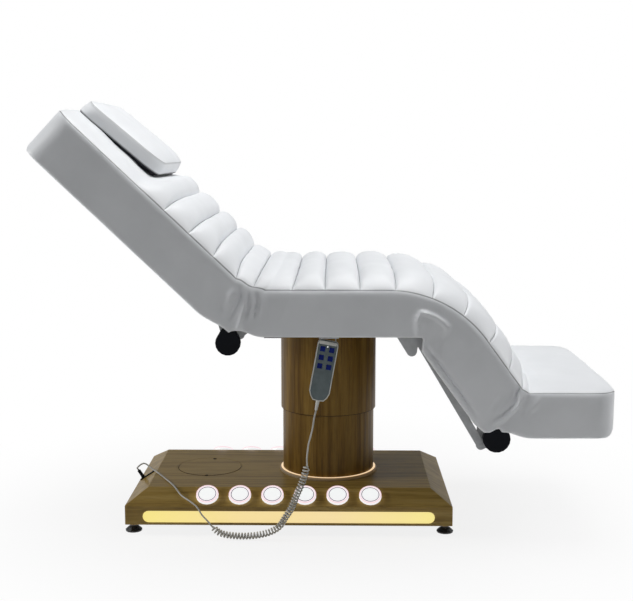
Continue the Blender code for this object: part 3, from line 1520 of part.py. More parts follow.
def make_hook(carriage):
    """A wire hook under the seat pad's edge that the handset hangs on."""
    length, width, thick = HOOK_PLATE
    top = SEAT_BOTTOM - GAP
    hook = box(
        "handset_hook",
        (HOOK_X - length / 2, HOOK_PLATE_Y - width / 2, top - thick),
        (HOOK_X + length / 2, HOOK_PLATE_Y + width / 2, top),
        white_light(),
        carriage,
    )
    start, end = top - thick / 2, top - HOOK_DROP
    for side in (-1, 1):
        x = HOOK_X + side * HOOK_HALF_SPAN
        unite(hook, rod("hook_wire", HOOK_WIRE, (x, HOOK_WIRE_Y, start), (x, HOOK_WIRE_Y, end), None, carriage, 10))
    x0, x1 = HOOK_X - HOOK_HALF_SPAN - HOOK_WIRE / 2, HOOK_X + HOOK_HALF_SPAN + HOOK_WIRE / 2
    z = end + HOOK_WIRE / 2
    unite(hook, rod("hook_rung", HOOK_WIRE, (x0, HOOK_WIRE_Y, z), (x1, HOOK_WIRE_Y, z), None, carriage, 10))


# Curly cord

def smooth_route(points):
    """A dense smooth polyline through the points."""
    points = [Vector(point) for point in points]
    padded = [2 * points[0] - points[1], *points, 2 * points[-1] - points[-2]]
    dense = []
    for index in range(1, len(padded) - 2):
        before, start, end, after = padded[index - 1:index + 3]
        for step in range(CURL_POINTS * 3):
            t = step / (CURL_POINTS * 3)
            dense.append(
                ((end - before) * t + (2 * before - 5 * start + 4 * end - after) * t**2
                 + (3 * start - 3 * end + after - before) * t**3) / 2 + start
            )
    return [*dense, points[-1]]


def distances(dense):
    total = [0.0]
    for first, second in zip(dense, dense[1:]):
        total.append(total[-1] + (second - first).length)
    return total


def at_distance(dense, total, wanted):
    index = max(1, min(len(total) - 1, next((i for i, d in enumerate(total) if d >= wanted), len(total) - 1)))
    share = (wanted - total[index - 1]) / (total[index] - total[index - 1])
    return dense[index - 1].lerp(dense[index], share)


def stretch(dense, total, start, end, step):
    count = max(2, round((end - start) / step))
    return [at_distance(dense, total, start + (end - start) * index / count) for index in range(count + 1)]


def coil(dense, total, start, end):
    """A helix round the route, with straight ends that lie on it."""
    run = end - start
    straight = CORD_DIAMETER / run
    axis_points = CURL_TURNS * CURL_POINTS
    reach = (CURL_OUTER - CORD_DIAMETER) / 2
    points = [at_distance(dense, total, start)]
    normal = Vector((0.0, 1.0, 0.0))
    step = run / axis_points
    for index in range(axis_points + 1):
        share = straight + (1 - 2 * straight) * index / axis_points
        here = at_distance(dense, total, start + run * share)
        ahead = at_distance(dense, total, start + run * share + step)
        behind = at_distance(dense, total, start + run * share - step)
        along = (ahead - behind).normalized()
        normal = (normal - along * normal.dot(along)).normalized()
        other = along.cross(normal)
        turns = index / CURL_POINTS
        ramp = min(1.0, turns / CURL_RAMP_TURNS, (CURL_TURNS - turns) / CURL_RAMP_TURNS)
        angle = 2 * math.pi * turns
        points.append(here + (normal * math.cos(angle) + other * math.sin(angle)) * reach * ramp)
    points.append(at_distance(dense, total, end))
    return points


def least_gap(points):
    """The least distance between the surfaces of two turns of the cord."""
    nearest = 1.0
    for index, point in enumerate(points):
        for other in points[index + CURL_POINTS // 2:index + 3 * CURL_POINTS]:
            nearest = min(nearest, (point - other).length)
    return nearest - CORD_DIAMETER


def make_cord():
    hand = Matrix.Translation(HANDSET_CENTRE) @ Matrix.Rotation(HANDSET_TILT, 4, "Y")
    split = -HANDSET_THICK / 2 + HANDSET_FRONT
    relief_y = split + GAP + RELIEF_RADIUS + FUSE
    start = hand @ Vector((0.0, relief_y, -HANDSET_LENGTH / 2 - RELIEF_LENGTH - CORD_JOINT))
    socket = socket_matrix()
    plug_low = SOCKET_BOSS_HEIGHT + GAP
    plug_high = plug_low + PLUG_LENGTH
    end = socket @ Vector((0.0, 0.0, plug_high + CORD_JOINT))
    above = socket @ Vector((0.0, 0.0, plug_high + LOOP_RISE / 2))
    route = [start, *LEAD_ROUTE, *CURL_ROUTE, *TAIL_ROUTE, above, end]
    dense = smooth_route(route)
    total = distances(dense)
    span = CURL_POINTS * 3
    curl_start = total[len(LEAD_ROUTE) * span] + CURL_START_SHARE * LINK_WIDTH
    curl_end = total[(len(LEAD_ROUTE) + len(CURL_ROUTE)) * span] + CURL_END_SHARE * LINK_WIDTH
    radius = CORD_DIAMETER / 2
    lead = stretch(dense, total, 0.0, curl_start, CORD_STEP)
    tube("cord_lead", lead, radius, 2, cord_grey())
    curls = coil(dense, total, curl_start + CORD_JOINT, curl_end)
    tube("cord_curls", curls, radius, 1, cord_grey())
    tail = stretch(dense, total, curl_end + CORD_JOINT, total[-1], CORD_STEP)
    tube("cord_tail", tail, radius, 2, cord_grey())
    plug = tilted_rod("cord_plug", socket, PLUG_RADIUS, plug_low, plug_high, black_plastic(), 16)
    bevel(plug, HOOK_WIRE / 2, 2)
    lengths = [distances(points)[-1] for points in (lead, curls, tail)]
    print("cord lead, curls, tail (m):", [round(length, 4) for length in lengths])
    print("cord route along its axis (m):", round(total[-1], 4))
    print("least gap between curls (mm):", round(least_gap(curls) * 1000, 2))


# Build

def build():
    global PARTS, CUTTERS
    clear_scene()
    PARTS = new_collection("treatment_bed")
    CUTTERS = new_collection("cutters")
    make_plinth()
    make_base_plate()
    make_feet()
    make_light_panels()
    make_lamp_rows()
    make_column_base()
    make_service_cover()
    make_control_box()
    make_mains_inlet()
    make_handset_socket()
    carriage = joint_frame("carriage_frame", 0.0, 0.0, 0.0)
    make_lift(carriage)
    make_seat_section(carriage)
    back = joint_frame("back_hinge_frame", *BACK_PIVOT, BACK_ANGLE, carriage)
    make_back_section(back)
    make_pillow(back)
    leg = joint_frame("knee_hinge_frame", *KNEE_PIVOT, LEG_ANGLE, carriage)
    make_leg_section(leg)
    foot = joint_frame("foot_hinge_frame", *FOOT_PIVOT, 0.0, carriage)
    make_foot_section(foot, carriage)
    make_links(carriage)
    make_hinge_covers(carriage)
    make_actuator(
        "back", carriage, BACK_PIVOT, BACK_LEVER, BACK_LEVER_LEAN, BACK_LEVER * BACK_RATE_SHARE,
        BACK_ACTUATOR, BACK_BORE_END, BACK_ROD_END, BACK_BRACE,
    )
    make_actuator(
        "leg", carriage, KNEE_PIVOT, LEG_LEVER, LEG_LEVER_LEAN, LEG_LEVER * LEG_RATE_SHARE,
        LEG_ACTUATOR, LEG_BORE_END, LEG_ROD_END, LEG_BRACE,
    )
    make_handset(carriage)
    make_hook(carriage)
    make_cord()


build()
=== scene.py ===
# %% [markdown]
# # A treatment bed with a lifting column, dressed for the photograph
# The bed is a lit wooden plinth, a telescopic round column and a couch of three padded sections.
# The solids come from the fixed frame, in metres, with the column's middle on the floor at the origin,
# the foot end along +X and the side that the photograph shows along -Y. This lesson gives them their
# finishes, and models again what a solid can't show: the padded covers, the pillow, the curly cord,
# the veneered sleeves, the lamps' lenses and the lit trims.

# %% Load the fixed frame
import json
import math

import bmesh
import bpy
from mathutils import Matrix, Vector, noise


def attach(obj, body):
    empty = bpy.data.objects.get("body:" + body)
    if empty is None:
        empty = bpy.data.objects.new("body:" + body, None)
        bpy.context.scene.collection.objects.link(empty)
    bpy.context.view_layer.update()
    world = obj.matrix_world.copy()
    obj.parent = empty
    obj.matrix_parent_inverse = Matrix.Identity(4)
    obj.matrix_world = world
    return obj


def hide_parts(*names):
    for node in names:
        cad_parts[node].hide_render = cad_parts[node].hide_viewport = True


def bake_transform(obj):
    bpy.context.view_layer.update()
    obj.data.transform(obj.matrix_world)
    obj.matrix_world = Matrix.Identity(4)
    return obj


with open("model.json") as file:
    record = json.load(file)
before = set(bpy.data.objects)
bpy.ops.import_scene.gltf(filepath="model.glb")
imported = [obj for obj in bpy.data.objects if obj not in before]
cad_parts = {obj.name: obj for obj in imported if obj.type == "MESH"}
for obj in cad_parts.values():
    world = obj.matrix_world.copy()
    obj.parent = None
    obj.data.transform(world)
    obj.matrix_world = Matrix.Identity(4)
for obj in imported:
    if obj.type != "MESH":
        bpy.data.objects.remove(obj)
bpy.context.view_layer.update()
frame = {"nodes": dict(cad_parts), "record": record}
nodes = frame["nodes"]
bpy.ops.object.select_all(action="DESELECT")

# %% [markdown]
# ## The camera
# The photograph was taken from about 3.3 m, a little above the couch, almost square to its side.
# Its place was found from the plinth's corners and the pads' ends, so a 64 mm lens at this spot
# gives the same view. The camera comes first, because every shape is then judged through it.

# %% Camera at the photograph's viewpoint
CAMERA_PLACE = (0.01257, -3.25592, 1.04833)
CAMERA_PITCH = 0.13076
CAMERA_YAW = 0.014524
PHOTO_WIDTH = 633
FOCAL_PIXELS = 1131.57

camera_data = bpy.data.cameras.new("photo_camera")
camera_data.sensor_fit = "HORIZONTAL"
camera_data.sensor_width = 36.0
camera_data.lens = FOCAL_PIXELS / PHOTO_WIDTH * 36.0
camera_data.clip_end = 60.0
camera = bpy.data.objects.new("photo_camera", camera_data)
camera.location = CAMERA_PLACE
camera.rotation_euler = (math.pi / 2 - CAMERA_PITCH, 0.0, CAMERA_YAW)
bpy.context.scene.collection.objects.link(camera)
bpy.context.scene.camera = camera
print("lens:", round(camera_data.lens, 2), "mm")

# %% [markdown]
# ## Small helpers
# Long soft shapes are written as rings of points, joined ring to ring, which keeps every stitch
# line on a row of points. Small rigid pieces start as primitives and are shaped by operators instead.

# %% Helpers for meshes
def new_object(name, data):
    made = bpy.data.objects.new(name, data)
    bpy.context.scene.collection.objects.link(made)
    return made


def object_from(work, name):
    """Turns the finished work into a mesh and an object of that name."""
    mesh = bpy.data.meshes.new(name)
    work.to_mesh(mesh)
    work.free()
    return new_object(name, mesh)


def bridge(work, rings):
    """Faces between rings of points that follow one another."""
    made = []
    for first, second in zip(rings, rings[1:]):
        for index in range(len(first)):
            follow = (index + 1) % len(first)
            made.append(work.faces.new((first[index], first[follow], second[follow], second[index])))
    return made


def pick(piece):
    bpy.ops.object.select_all(action="DESELECT")
    piece.select_set(True)
    bpy.context.view_layer.objects.active = piece


def shade_smooth(piece, degrees=40.0):
    pick(piece)
    bpy.ops.object.shade_smooth_by_angle(angle=math.radians(degrees))
    piece.select_set(False)


def mix(first, second, share):
    return first + (second - first) * share


def soft_step(value, low, high):
    share = min(1.0, max(0.0, (value - low) / (high - low)))
    return share * share * (3 - 2 * share)


def bell(away, width):
    return math.exp(-((away / width) ** 2))


def ripple(x, y, z, scale, seed):
    return noise.noise(Vector((x * scale + seed, y * scale, z * scale)))


# %% [markdown]
# ## The handset's curly cord
# The real cord leaves the handset through a ribbed sleeve, hangs straight for a hand's width, turns
# into a long spring of 46 curls that droops to the floor, and climbs the plinth as a plain cord to
# its socket. Its middle stretches when the column lifts. It could be a curve with a bevel, but its
# length has to be the real one, so it is a mesh tube swept along a computed route.

# %% The cord's route
CORD_DIAMETER = 0.0044
CURL_OUTER = 0.0194
CURL_TURNS = 46
TURN_POINTS = 16
CURL_RAMP_TURNS = 0.75
ROUTE_STEPS = 24
CORD_STEP = 0.008
CORD_JOINT = 0.0008
CURLS_AFTER_LEAD, CURLS_BEFORE_TAIL = 0.01364, 0.0066
CORD_TOP = (-0.031421, -0.3282, 0.369951)
CORD_ABOVE_PLUG = (-0.5629, -0.022, 0.124491)
CORD_END = (-0.558953, -0.022, 0.11847)
LEAD_ROUTE = (
    (-0.0365, -0.3282, 0.3480), (-0.0412, -0.3282, 0.3172),
    (-0.0510, -0.3280, 0.2787), (-0.0557, -0.3270, 0.2380),
)
CURL_ROUTE = (
    (-0.0553, -0.3260, 0.2210), (-0.0634, -0.3240, 0.1873), (-0.0736, -0.3210, 0.1592),
    (-0.0848, -0.3170, 0.1328), (-0.0971, -0.3110, 0.0986), (-0.1145, -0.3050, 0.0694),
    (-0.1331, -0.2970, 0.0398), (-0.1649, -0.2920, 0.0210), (-0.2058, -0.2900, 0.0125),
    (-0.2526, -0.2890, 0.0118), (-0.2903, -0.2890, 0.0185), (-0.3116, -0.2895, 0.0346),
)
TAIL_ROUTE = (
    (-0.3250, -0.2890, 0.0512), (-0.3420, -0.2850, 0.0681), (-0.3566, -0.2790, 0.0892),
    (-0.3776, -0.2650, 0.1009), (-0.4053, -0.2400, 0.1110), (-0.4280, -0.2070, 0.1255),
    (-0.4610, -0.1360, 0.1246), (-0.4940, -0.0720, 0.1246), (-0.5170, -0.0350, 0.1262),
    (-0.5430, -0.0180, 0.1375),
)


def smooth_route(points):
    """A dense smooth line through the points (Catmull-Rom)."""
    points = [Vector(point) for point in points]
    padded = [2 * points[0] - points[1], *points, 2 * points[-1] - points[-2]]
    dense = []
    for index in range(1, len(padded) - 2):
        before, start, end, after = padded[index - 1:index + 3]
        for step in range(ROUTE_STEPS):
            t = step / ROUTE_STEPS
            dense.append(
                ((end - before) * t + (2 * before - 5 * start + 4 * end - after) * t**2
                 + (3 * start - 3 * end + after - before) * t**3) / 2 + start
            )
    return [*dense, points[-1]]


def distances(points):
    total = [0.0]
    for first, second in zip(points, points[1:]):
        total.append(total[-1] + (second - first).length)
    return total


def at_distance(points, total, wanted):
    index = next((i for i, d in enumerate(total) if d >= wanted), len(total) - 1)
    index = max(1, index)
    share = (wanted - total[index - 1]) / (total[index] - total[index - 1])
    return points[index - 1].lerp(points[index], share)


def stretch(points, total, start, end):
    count = max(2, round((end - start) / CORD_STEP))
    return [at_distance(points, total, start + (end - start) * i / count) for i in range(count + 1)]


route = [CORD_TOP, *LEAD_ROUTE, *CURL_ROUTE, *TAIL_ROUTE, CORD_ABOVE_PLUG, CORD_END]
axis = smooth_route(route)
axis_total = distances(axis)
curl_start = axis_total[len(LEAD_ROUTE) * ROUTE_STEPS] + CURLS_AFTER_LEAD + CORD_JOINT
curl_end = axis_total[(len(LEAD_ROUTE) + len(CURL_ROUTE)) * ROUTE_STEPS] + CURLS_BEFORE_TAIL
print("route along its axis:", round(axis_total[-1], 4), "m")


# %% Curls round the route
def curls(points, total, start, end):
    """A spring wound round the route, easing in and out of its full width."""
    run = end - start
    ends = CORD_DIAMETER / run
    count = CURL_TURNS * TURN_POINTS
    reach = (CURL_OUTER - CORD_DIAMETER) / 2
    normal = Vector((0.0, 1.0, 0.0))
    step = run / count
    wound = []
    for index in range(count + 1):
        place = start + run * (ends + (1 - 2 * ends) * index / count)
        here = at_distance(points, total, place)
        along = at_distance(points, total, place + step) - at_distance(points, total, place - step)
        along.normalize()
        normal = (normal - along * normal.dot(along)).normalized()
        turns = index / TURN_POINTS
        ramp = min(1.0, turns / CURL_RAMP_TURNS, (CURL_TURNS - turns) / CURL_RAMP_TURNS)
        angle = 2 * math.pi * turns
        outward = normal * math.cos(angle) + along.cross(normal) * math.sin(angle)
        wound.append(here + outward * reach * ramp)
    return wound


cord_points = stretch(axis, axis_total, 0.0, curl_start)
cord_points += curls(axis, axis_total, curl_start, curl_end)
cord_points += stretch(axis, axis_total, curl_end, axis_total[-1])


# %% The cord's tube
def swept_tube(name, points, radius, corners=8):
    """A closed tube round the points. Its UV map is metres along and share round."""
    work = bmesh.new()
    uv = work.loops.layers.uv.new("UVMap")
    normal = Vector((0.0, 1.0, 0.0))
    rings, along_at = [], distances(points)
    for index, point in enumerate(points):
        along = (points[min(index + 1, len(points) - 1)] - points[max(index - 1, 0)]).normalized()
        normal = (normal - along * normal.dot(along)).normalized()
        other = along.cross(normal)
        rings.append([
            work.verts.new(point + (normal * math.cos(a) + other * math.sin(a)) * radius)
            for a in (2 * math.pi * corner / corners for corner in range(corners))
        ])
    for index, face in enumerate(bridge(work, rings)):
        row, corner = divmod(index, corners)
        face.smooth = True
        shares = ((row, corner), (row, corner + 1), (row + 1, corner + 1), (row + 1, corner))
        for loop, (r, c) in zip(face.loops, shares):
            loop[uv].uv = (along_at[r], c / corners)
    work.faces.new(list(reversed(rings[0])))
    work.faces.new(rings[-1])
    bmesh.ops.recalc_face_normals(work, faces=work.faces)
    return object_from(work, name)


cord = swept_tube("curly_cord", cord_points, CORD_DIAMETER / 2)
print("cord faces:", len(cord.data.polygons))

# %% [markdown]
# ## The couch covers
# The couch is foam on boards under three tight leatherette covers, with channels sewn across their
# tops and a seam along each edge. One line, the seam's, runs from the head to the foot. At each
# station on it stands a cross-section: crowned top, seam, side, under edge and the hollow that holds
# the steel. The channels, the nip of each stitch line and the folds at the creases are all heights
# that depend on the station, so they are written as functions and the covers are swept through them.

# %% The couch's sizes
COUCH_HALF = 0.350
SEAM_HEIGHT = 0.694
SEAT_THICK = 0.126
BACK_PIVOT = (-0.264, 0.548)
KNEE_PIVOT = (0.2688, 0.594)
FOOT_PIVOT = (0.448004, 0.292565)
BACK_ANGLE = math.radians(43.6)
LEG_DEGREES = 54.0
LEG_ANGLE = math.radians(LEG_DEGREES)
BACK_HALF_FOLD = math.radians(35.0)
FOOT_HALF_FOLD = math.radians(31.0)
BACK_SEAM, BACK_SIDE, BACK_LENGTH = 0.1463, 0.137, 0.731
LEG_SEAM, LEG_START, LEG_END = 0.100, 0.1195, 0.26965
FOOT_SEAM, FOOT_SIDE, FOOT_LENGTH = 0.1315, 0.124, 0.313
KNEE_START, KNEE_RADIUS, KNEE_UNDER = 0.1567, 0.320, 0.194
KNEE_CENTRE = (KNEE_START, 0.374)
BACK_STITCHES = (0.357, 0.2705, 0.184)
SEAT_STITCHES = (-0.093, -0.007, 0.083, 0.176, 0.2734, 0.3673, 0.4657)
LEG_STITCH = 0.2085
POCKET_DEPTH = 0.0453
RIM_WIDTH = 0.022
POCKET_FROM_END = 0.083
CREASE_LIFT, CREASE_DIP = 0.017, 0.009
CREASE_SEAT = 0.1617
BACK_LIFT_RUN, SEAT_LIFT_RUN = (-0.175, -0.105), (0.110, CREASE_SEAT)
LEG_LIP, LIP_FROM_DEGREES, LIP_TO_RUN = 0.031, (24.5, 29.5), (0.240, 0.262)
FOLD_LIFT, LEG_LIFT_FROM = 0.016, 0.205
FOOT_CREASE_SEAM = LEG_SEAM + 0.0322
FOOT_START, FOOT_SQUARE, FOOT_LIFT_TO = 0.079, 0.170, 0.125
CORNER, TOP_ROUND, FOOT_ROUND, END_DROP = 0.060, 0.014, 0.032, 0.45


def beside(pivot, angle, station, height):
    """The place (x, z) at a run from a pivot, and a height above it, on a slope that falls by the angle."""
    x = pivot[0] + station * math.cos(angle) + height * math.sin(angle)
    return (x, pivot[1] - station * math.sin(angle) + height * math.cos(angle))


def back_to_world(station, height):
    return beside(BACK_PIVOT, BACK_ANGLE, -station, height)


def leg_to_world(station, height):
    return beside(KNEE_PIVOT, LEG_ANGLE, station, height)


def eased(position, full, none):
    return min(1.0, max(0.0, (none - position) / (none - full)))


# %% Cross-sections along the seam line
def section(seam, up, side, half=COUCH_HALF, pocket=POCKET_DEPTH, rise=0.0, drop=0.0, fall=1.0):
    return {
        "seam": seam, "up": up, "side": side, "half": half, "pocket": pocket,
        "rise": rise, "drop": drop, "fall": fall,
    }


def end_curve(station, length, radius):
    """How far a round edge has turned in at a station near the end."""
    over = max(0.0, station - (length - radius))
    return radius - math.sqrt(max(0.0, radius**2 - over**2))


def end_section(place, up, side, station, length, rise):
    """A section near a rounded end: the hollow stops short of it, and the corners draw in."""
    pocket = POCKET_DEPTH if station < length - POCKET_FROM_END else 0.0
    past = max(0.0, station - (length - CORNER)) / CORNER
    wide = math.sqrt(max(0.0, 1 - past**2))
    half = COUCH_HALF - CORNER + CORNER * wide
    drop = END_DROP * end_curve(station, length, TOP_ROUND)
    return section(place, up, side, half, max(0.0, pocket - rise), rise, drop, wide)


def back_section(station):
    lean = math.tan(BACK_HALF_FOLD)
    tilt = lean * eased(station, BACK_SEAM * lean, BACK_STITCHES[1])
    up = Vector(back_to_world(station + tilt, BACK_SEAM + 1)) - Vector(back_to_world(station, BACK_SEAM))
    rise = end_curve(station, BACK_LENGTH, TOP_ROUND) + CREASE_LIFT * soft_step(-station, *BACK_LIFT_RUN)
    return end_section(back_to_world(station, BACK_SEAM), tuple(up), BACK_SIDE, station, BACK_LENGTH, rise)


def ray_section(pivot, angle, fold, seam, side, rise=0.0, dip=0.0):
    up = (math.sin(angle) / math.cos(fold), math.cos(angle) / math.cos(fold))
    seam -= dip
    place = (pivot[0] + up[0] * seam, pivot[1] + up[1] * seam)
    return section(place, up, side - dip, pocket=POCKET_DEPTH - rise, rise=rise)


def back_crease_section(share):
    low = BACK_ANGLE - BACK_HALF_FOLD
    angle = mix(low, BACK_HALF_FOLD, share)
    seam = mix(BACK_SEAM, SEAM_HEIGHT - BACK_PIVOT[1], share)
    side = mix(BACK_SIDE, SEAT_THICK, share)
    dip = CREASE_DIP * math.sin(math.pi * share) ** 2 * (0.7 + 0.3 * share)
    return ray_section(BACK_PIVOT, angle, BACK_HALF_FOLD, seam, side, CREASE_LIFT, dip)


def seat_section(x):
    lean = math.tan(BACK_HALF_FOLD)
    start = BACK_PIVOT[0] + (SEAM_HEIGHT - BACK_PIVOT[1]) * lean
    rise = CREASE_LIFT * soft_step(-x, *SEAT_LIFT_RUN)
    up = (lean * eased(x, start, SEAT_STITCHES[1]), 1.0)
    return section((x, SEAM_HEIGHT), up, SEAT_THICK, pocket=POCKET_DEPTH - rise, rise=rise)


def knee_section(degrees):
    angle = math.radians(degrees)
    near = math.cos(math.radians(min(max(degrees, 0.0), LEG_DEGREES - degrees)))
    up = (math.sin(angle), math.cos(angle))
    seam = (KNEE_CENTRE[0] + up[0] * KNEE_RADIUS, KNEE_CENTRE[1] + up[1] * KNEE_RADIUS)
    lip = LEG_LIP / near * soft_step(degrees, *LIP_FROM_DEGREES)
    return section(seam, up, KNEE_RADIUS - KNEE_UNDER / near + lip, pocket=POCKET_DEPTH / near + lip)


def leg_section(station):
    tilt = -math.tan(FOOT_HALF_FOLD) * eased(station, LEG_END, LEG_START)
    up = Vector(leg_to_world(station + tilt, LEG_SEAM + 1)) - Vector(leg_to_world(station, LEG_SEAM))
    rise = FOLD_LIFT * soft_step(station, LEG_LIFT_FROM, LEG_END)
    lip = LEG_LIP * (1 - soft_step(station, *LIP_TO_RUN))
    return section(
        leg_to_world(station, LEG_SEAM), tuple(up), SEAT_THICK + lip,
        pocket=POCKET_DEPTH + lip - rise, rise=rise,
    )


def foot_crease_section(share):
    low = LEG_ANGLE - FOOT_HALF_FOLD
    seam = mix(FOOT_CREASE_SEAM, FOOT_SEAM, share)
    angle = mix(low, FOOT_HALF_FOLD, share)
    side = mix(SEAT_THICK, FOOT_SIDE, share)
    return ray_section(FOOT_PIVOT, angle, FOOT_HALF_FOLD, seam, side, FOLD_LIFT)


def foot_section(station):
    tilt = math.tan(FOOT_HALF_FOLD) * eased(station, FOOT_START, FOOT_SQUARE)
    rise = end_curve(station, FOOT_LENGTH, FOOT_ROUND)
    rise += FOLD_LIFT * soft_step(-station, -FOOT_LIFT_TO, -FOOT_START)
    place = (FOOT_PIVOT[0] + station, FOOT_PIVOT[1] + FOOT_SEAM)
    return end_section(place, (tilt, 1.0), FOOT_SIDE, station, FOOT_LENGTH, rise)


# %% [markdown]
# ## Channels
# Each channel is a strip of foam between two stitch lines. Its height rises steeply from a stitch
# line and is nearly flat on top. The stations are packed closely beside each stitch line, so that
# the sharp valley has the points it needs, while the flat tops need few.

# %% Channel profile
PLAIN_CROWN = 0.020
POCKET_STEP = 0.0003
SAME_PLACE, SAME_POCKET = 0.0004, 0.001


def packed(start, end, gap=0.0052):
    """Stations from start to end, closer together at both ends."""
    count = max(6, round(abs(end - start) / gap))
    shares = [i / count for i in range(count + 1)]
    return [mix(start, end, s - 0.115 * math.sin(2 * math.pi * s)) for s in shares]


def puff(share):
    """The height of a channel across its width, from 0 at the stitch lines to 1."""
    return max(0.0, 1 - abs(2 * share - 1) ** 2.4) ** 0.62


def channel_rows(make, edges, crowns, valleys, gap=0.0052):
    """Rows of [section, crown, whether it is a stitch line] through the channels between the edges."""
    rows = []
    for index, (start, end) in enumerate(zip(edges, edges[1:])):
        stations = packed(start, end, gap)
        for place, station in enumerate(stations):
            share = (station - start) / (end - start)
            low = mix(valleys[index], valleys[index + 1], share)
            rows.append([
                make(station), low + (crowns[index] - low) * puff(share),
                place in (0, len(stations) - 1),
            ])
    return rows


def plain_rows(make, start, end, crown=PLAIN_CROWN, to_crown=None, gap=0.0075):
    """Rows without stitch lines, at one crown or easing from one to another."""
    count = max(2, round(abs(end - start) / gap))
    rows = []
    for index in range(count + 1):
        share = index / count
        height = crown if to_crown is None else mix(crown, to_crown, soft_step(share, 0.0, 1.0))
        rows.append([make(mix(start, end, share)), height, False])
    return rows


def end_rows(make, length):
    """Rows round a rounded end, closer together towards its tip."""
    turn = (math.sin(math.radians(5 * step)) for step in range(1, 19))
    return [[make(length - CORNER + CORNER * reach), PLAIN_CROWN, False] for reach in turn]


def plain_end(make, start, length):
    """Rows from a station to the rounded end, with a pair of rows where the hollow stops."""
    stop = length - POCKET_FROM_END
    rows = plain_rows(make, start, stop - POCKET_STEP)
    rows += plain_rows(make, stop + POCKET_STEP, length - CORNER)
    return rows + end_rows(make, length)


def measured(rows):
    """Drops rows that repeat a place, then adds the distance along and to the nearest stitch line."""
    kept, along = [], 0.0
    for row in rows:
        if kept:
            last = kept[-1]
            step = (Vector(row[0]["seam"]) - Vector(last[0]["seam"])).length
            if step < SAME_PLACE and abs(row[0]["pocket"] - last[0]["pocket"]) < SAME_POCKET:
                last[2] = last[2] or row[2]
                continue
            along += step
        kept.append([*row, along])
    stitches = [row[3] for row in kept if row[2]]
    for row in kept:
        row.append(min(abs(row[3] - stitch) for stitch in stitches))
    return kept


# %% Rows of the back's cover
BACK_START = BACK_SEAM * math.tan(BACK_HALF_FOLD)
BACK_PLAIN_TO, BACK_RISE_FROM, BACK_TOP = 0.466, 0.461, 0.400
CHANNEL, VALLEY = 0.052, 0.030
CREASE_VALLEY, CREASE_CROWN = 0.029, 0.038
CREASE_STITCH = 0.62
CREASE_RUN, SEAT_RUN, SEAT_TAPER = 0.0325, 0.0687, 0.0210


def shared_channel(run):
    """Height of the channel that the back's and the seat's covers share, by the run across it."""
    return CREASE_VALLEY + 0.020 * puff(run / (CREASE_RUN + SEAT_RUN))


back_rows = plain_end(back_section, BACK_PLAIN_TO, BACK_LENGTH)[::-1]
back_rows += plain_rows(back_section, BACK_RISE_FROM, BACK_TOP, PLAIN_CROWN, CHANNEL, 0.005)
for station in packed(BACK_TOP, BACK_STITCHES[0])[1:]:
    share = 0.5 + 0.5 * (BACK_TOP - station) / (BACK_TOP - BACK_STITCHES[0])
    back_rows.append([back_section(station), VALLEY + (CHANNEL - VALLEY) * puff(share), False])
back_rows[-1][2] = True
back_rows += channel_rows(back_section, (*BACK_STITCHES, BACK_START), (CHANNEL,) * 3, (VALLEY,) * 4)
back_rows += channel_rows(
    back_crease_section, (0.0, CREASE_STITCH), (CREASE_CROWN,), (VALLEY, CREASE_VALLEY), 0.055,
)
for share in packed(CREASE_STITCH, 1.0, 0.045):
    run = CREASE_RUN * (share - CREASE_STITCH) / (1 - CREASE_STITCH)
    back_rows.append([back_crease_section(share), shared_channel(run), False])
seat_places = [-CREASE_SEAT + SEAT_RUN * i / 12 for i in range(9)]
seat_places += [SEAT_STITCHES[0] - SEAT_TAPER * (1 - i / 9) ** 1.6 for i in range(10)]
for x in seat_places:
    back_rows.append([seat_section(x), shared_channel(CREASE_RUN + x + CREASE_SEAT), False])
back_rows[-1][2] = True
back_rows = measured(back_rows)
print("rows of the back's cover:", len(back_rows))

# %% Rows of the seat's cover, over the knee
KNEE_FULL = KNEE_START + KNEE_RADIUS * LEG_ANGLE
LEG_FROM_KNEE = 0.1121
SEAT_CROWNS = (CHANNEL, CHANNEL, CHANNEL, 0.051, 0.050, 0.050)
SEAT_VALLEYS = (VALLEY, VALLEY, VALLEY, 0.031, 0.035, 0.041, 0.042)


def seat_and_knee(run):
    """A section by its run along the seam: flat seat, then the arc of the knee, then the leg."""
    if run <= KNEE_START:
        return seat_section(run)
    if run <= KNEE_FULL:
        return knee_section(math.degrees((run - KNEE_START) / KNEE_RADIUS))
    return leg_section(run - KNEE_FULL + LEG_FROM_KNEE)


seat_rows = measured(channel_rows(seat_and_knee, SEAT_STITCHES, SEAT_CROWNS, SEAT_VALLEYS))
print("rows of the seat's cover:", len(seat_rows))

# %% Rows of the leg's and foot's cover
LEG_CROWNS, LEG_VALLEYS = (0.049, 0.042), (0.042, 0.038, 0.026)
FOOT_CREASE_CROWN, FOOT_VALLEY = 0.024, 0.013
FOOT_RISE_TO, FOOT_PLAIN_FROM = 0.120, 0.125
leg_rows = channel_rows(leg_section, (LEG_START, LEG_STITCH, LEG_END), LEG_CROWNS, LEG_VALLEYS)
leg_rows += channel_rows(
    foot_crease_section, (0.0, 1.0), (FOOT_CREASE_CROWN,), (LEG_VALLEYS[-1], FOOT_VALLEY), 0.12,
)
leg_rows += plain_rows(foot_section, FOOT_START, FOOT_RISE_TO, FOOT_VALLEY, PLAIN_CROWN, 0.004)
leg_rows += plain_end(foot_section, FOOT_PLAIN_FROM, FOOT_LENGTH)
leg_rows = measured(leg_rows)
print("rows of the leg's and foot's cover:", len(leg_rows))

# %% [markdown]
# ## Folds and nips
# Leatherette that is pulled over a hinge gathers in a few soft folds, each a ridge that fades out
# at both ends. They are drawn as lines on the side of the couch and pushed out or in by a smooth
# bell-shaped height. The same bell shape nips the cover along every stitch line.

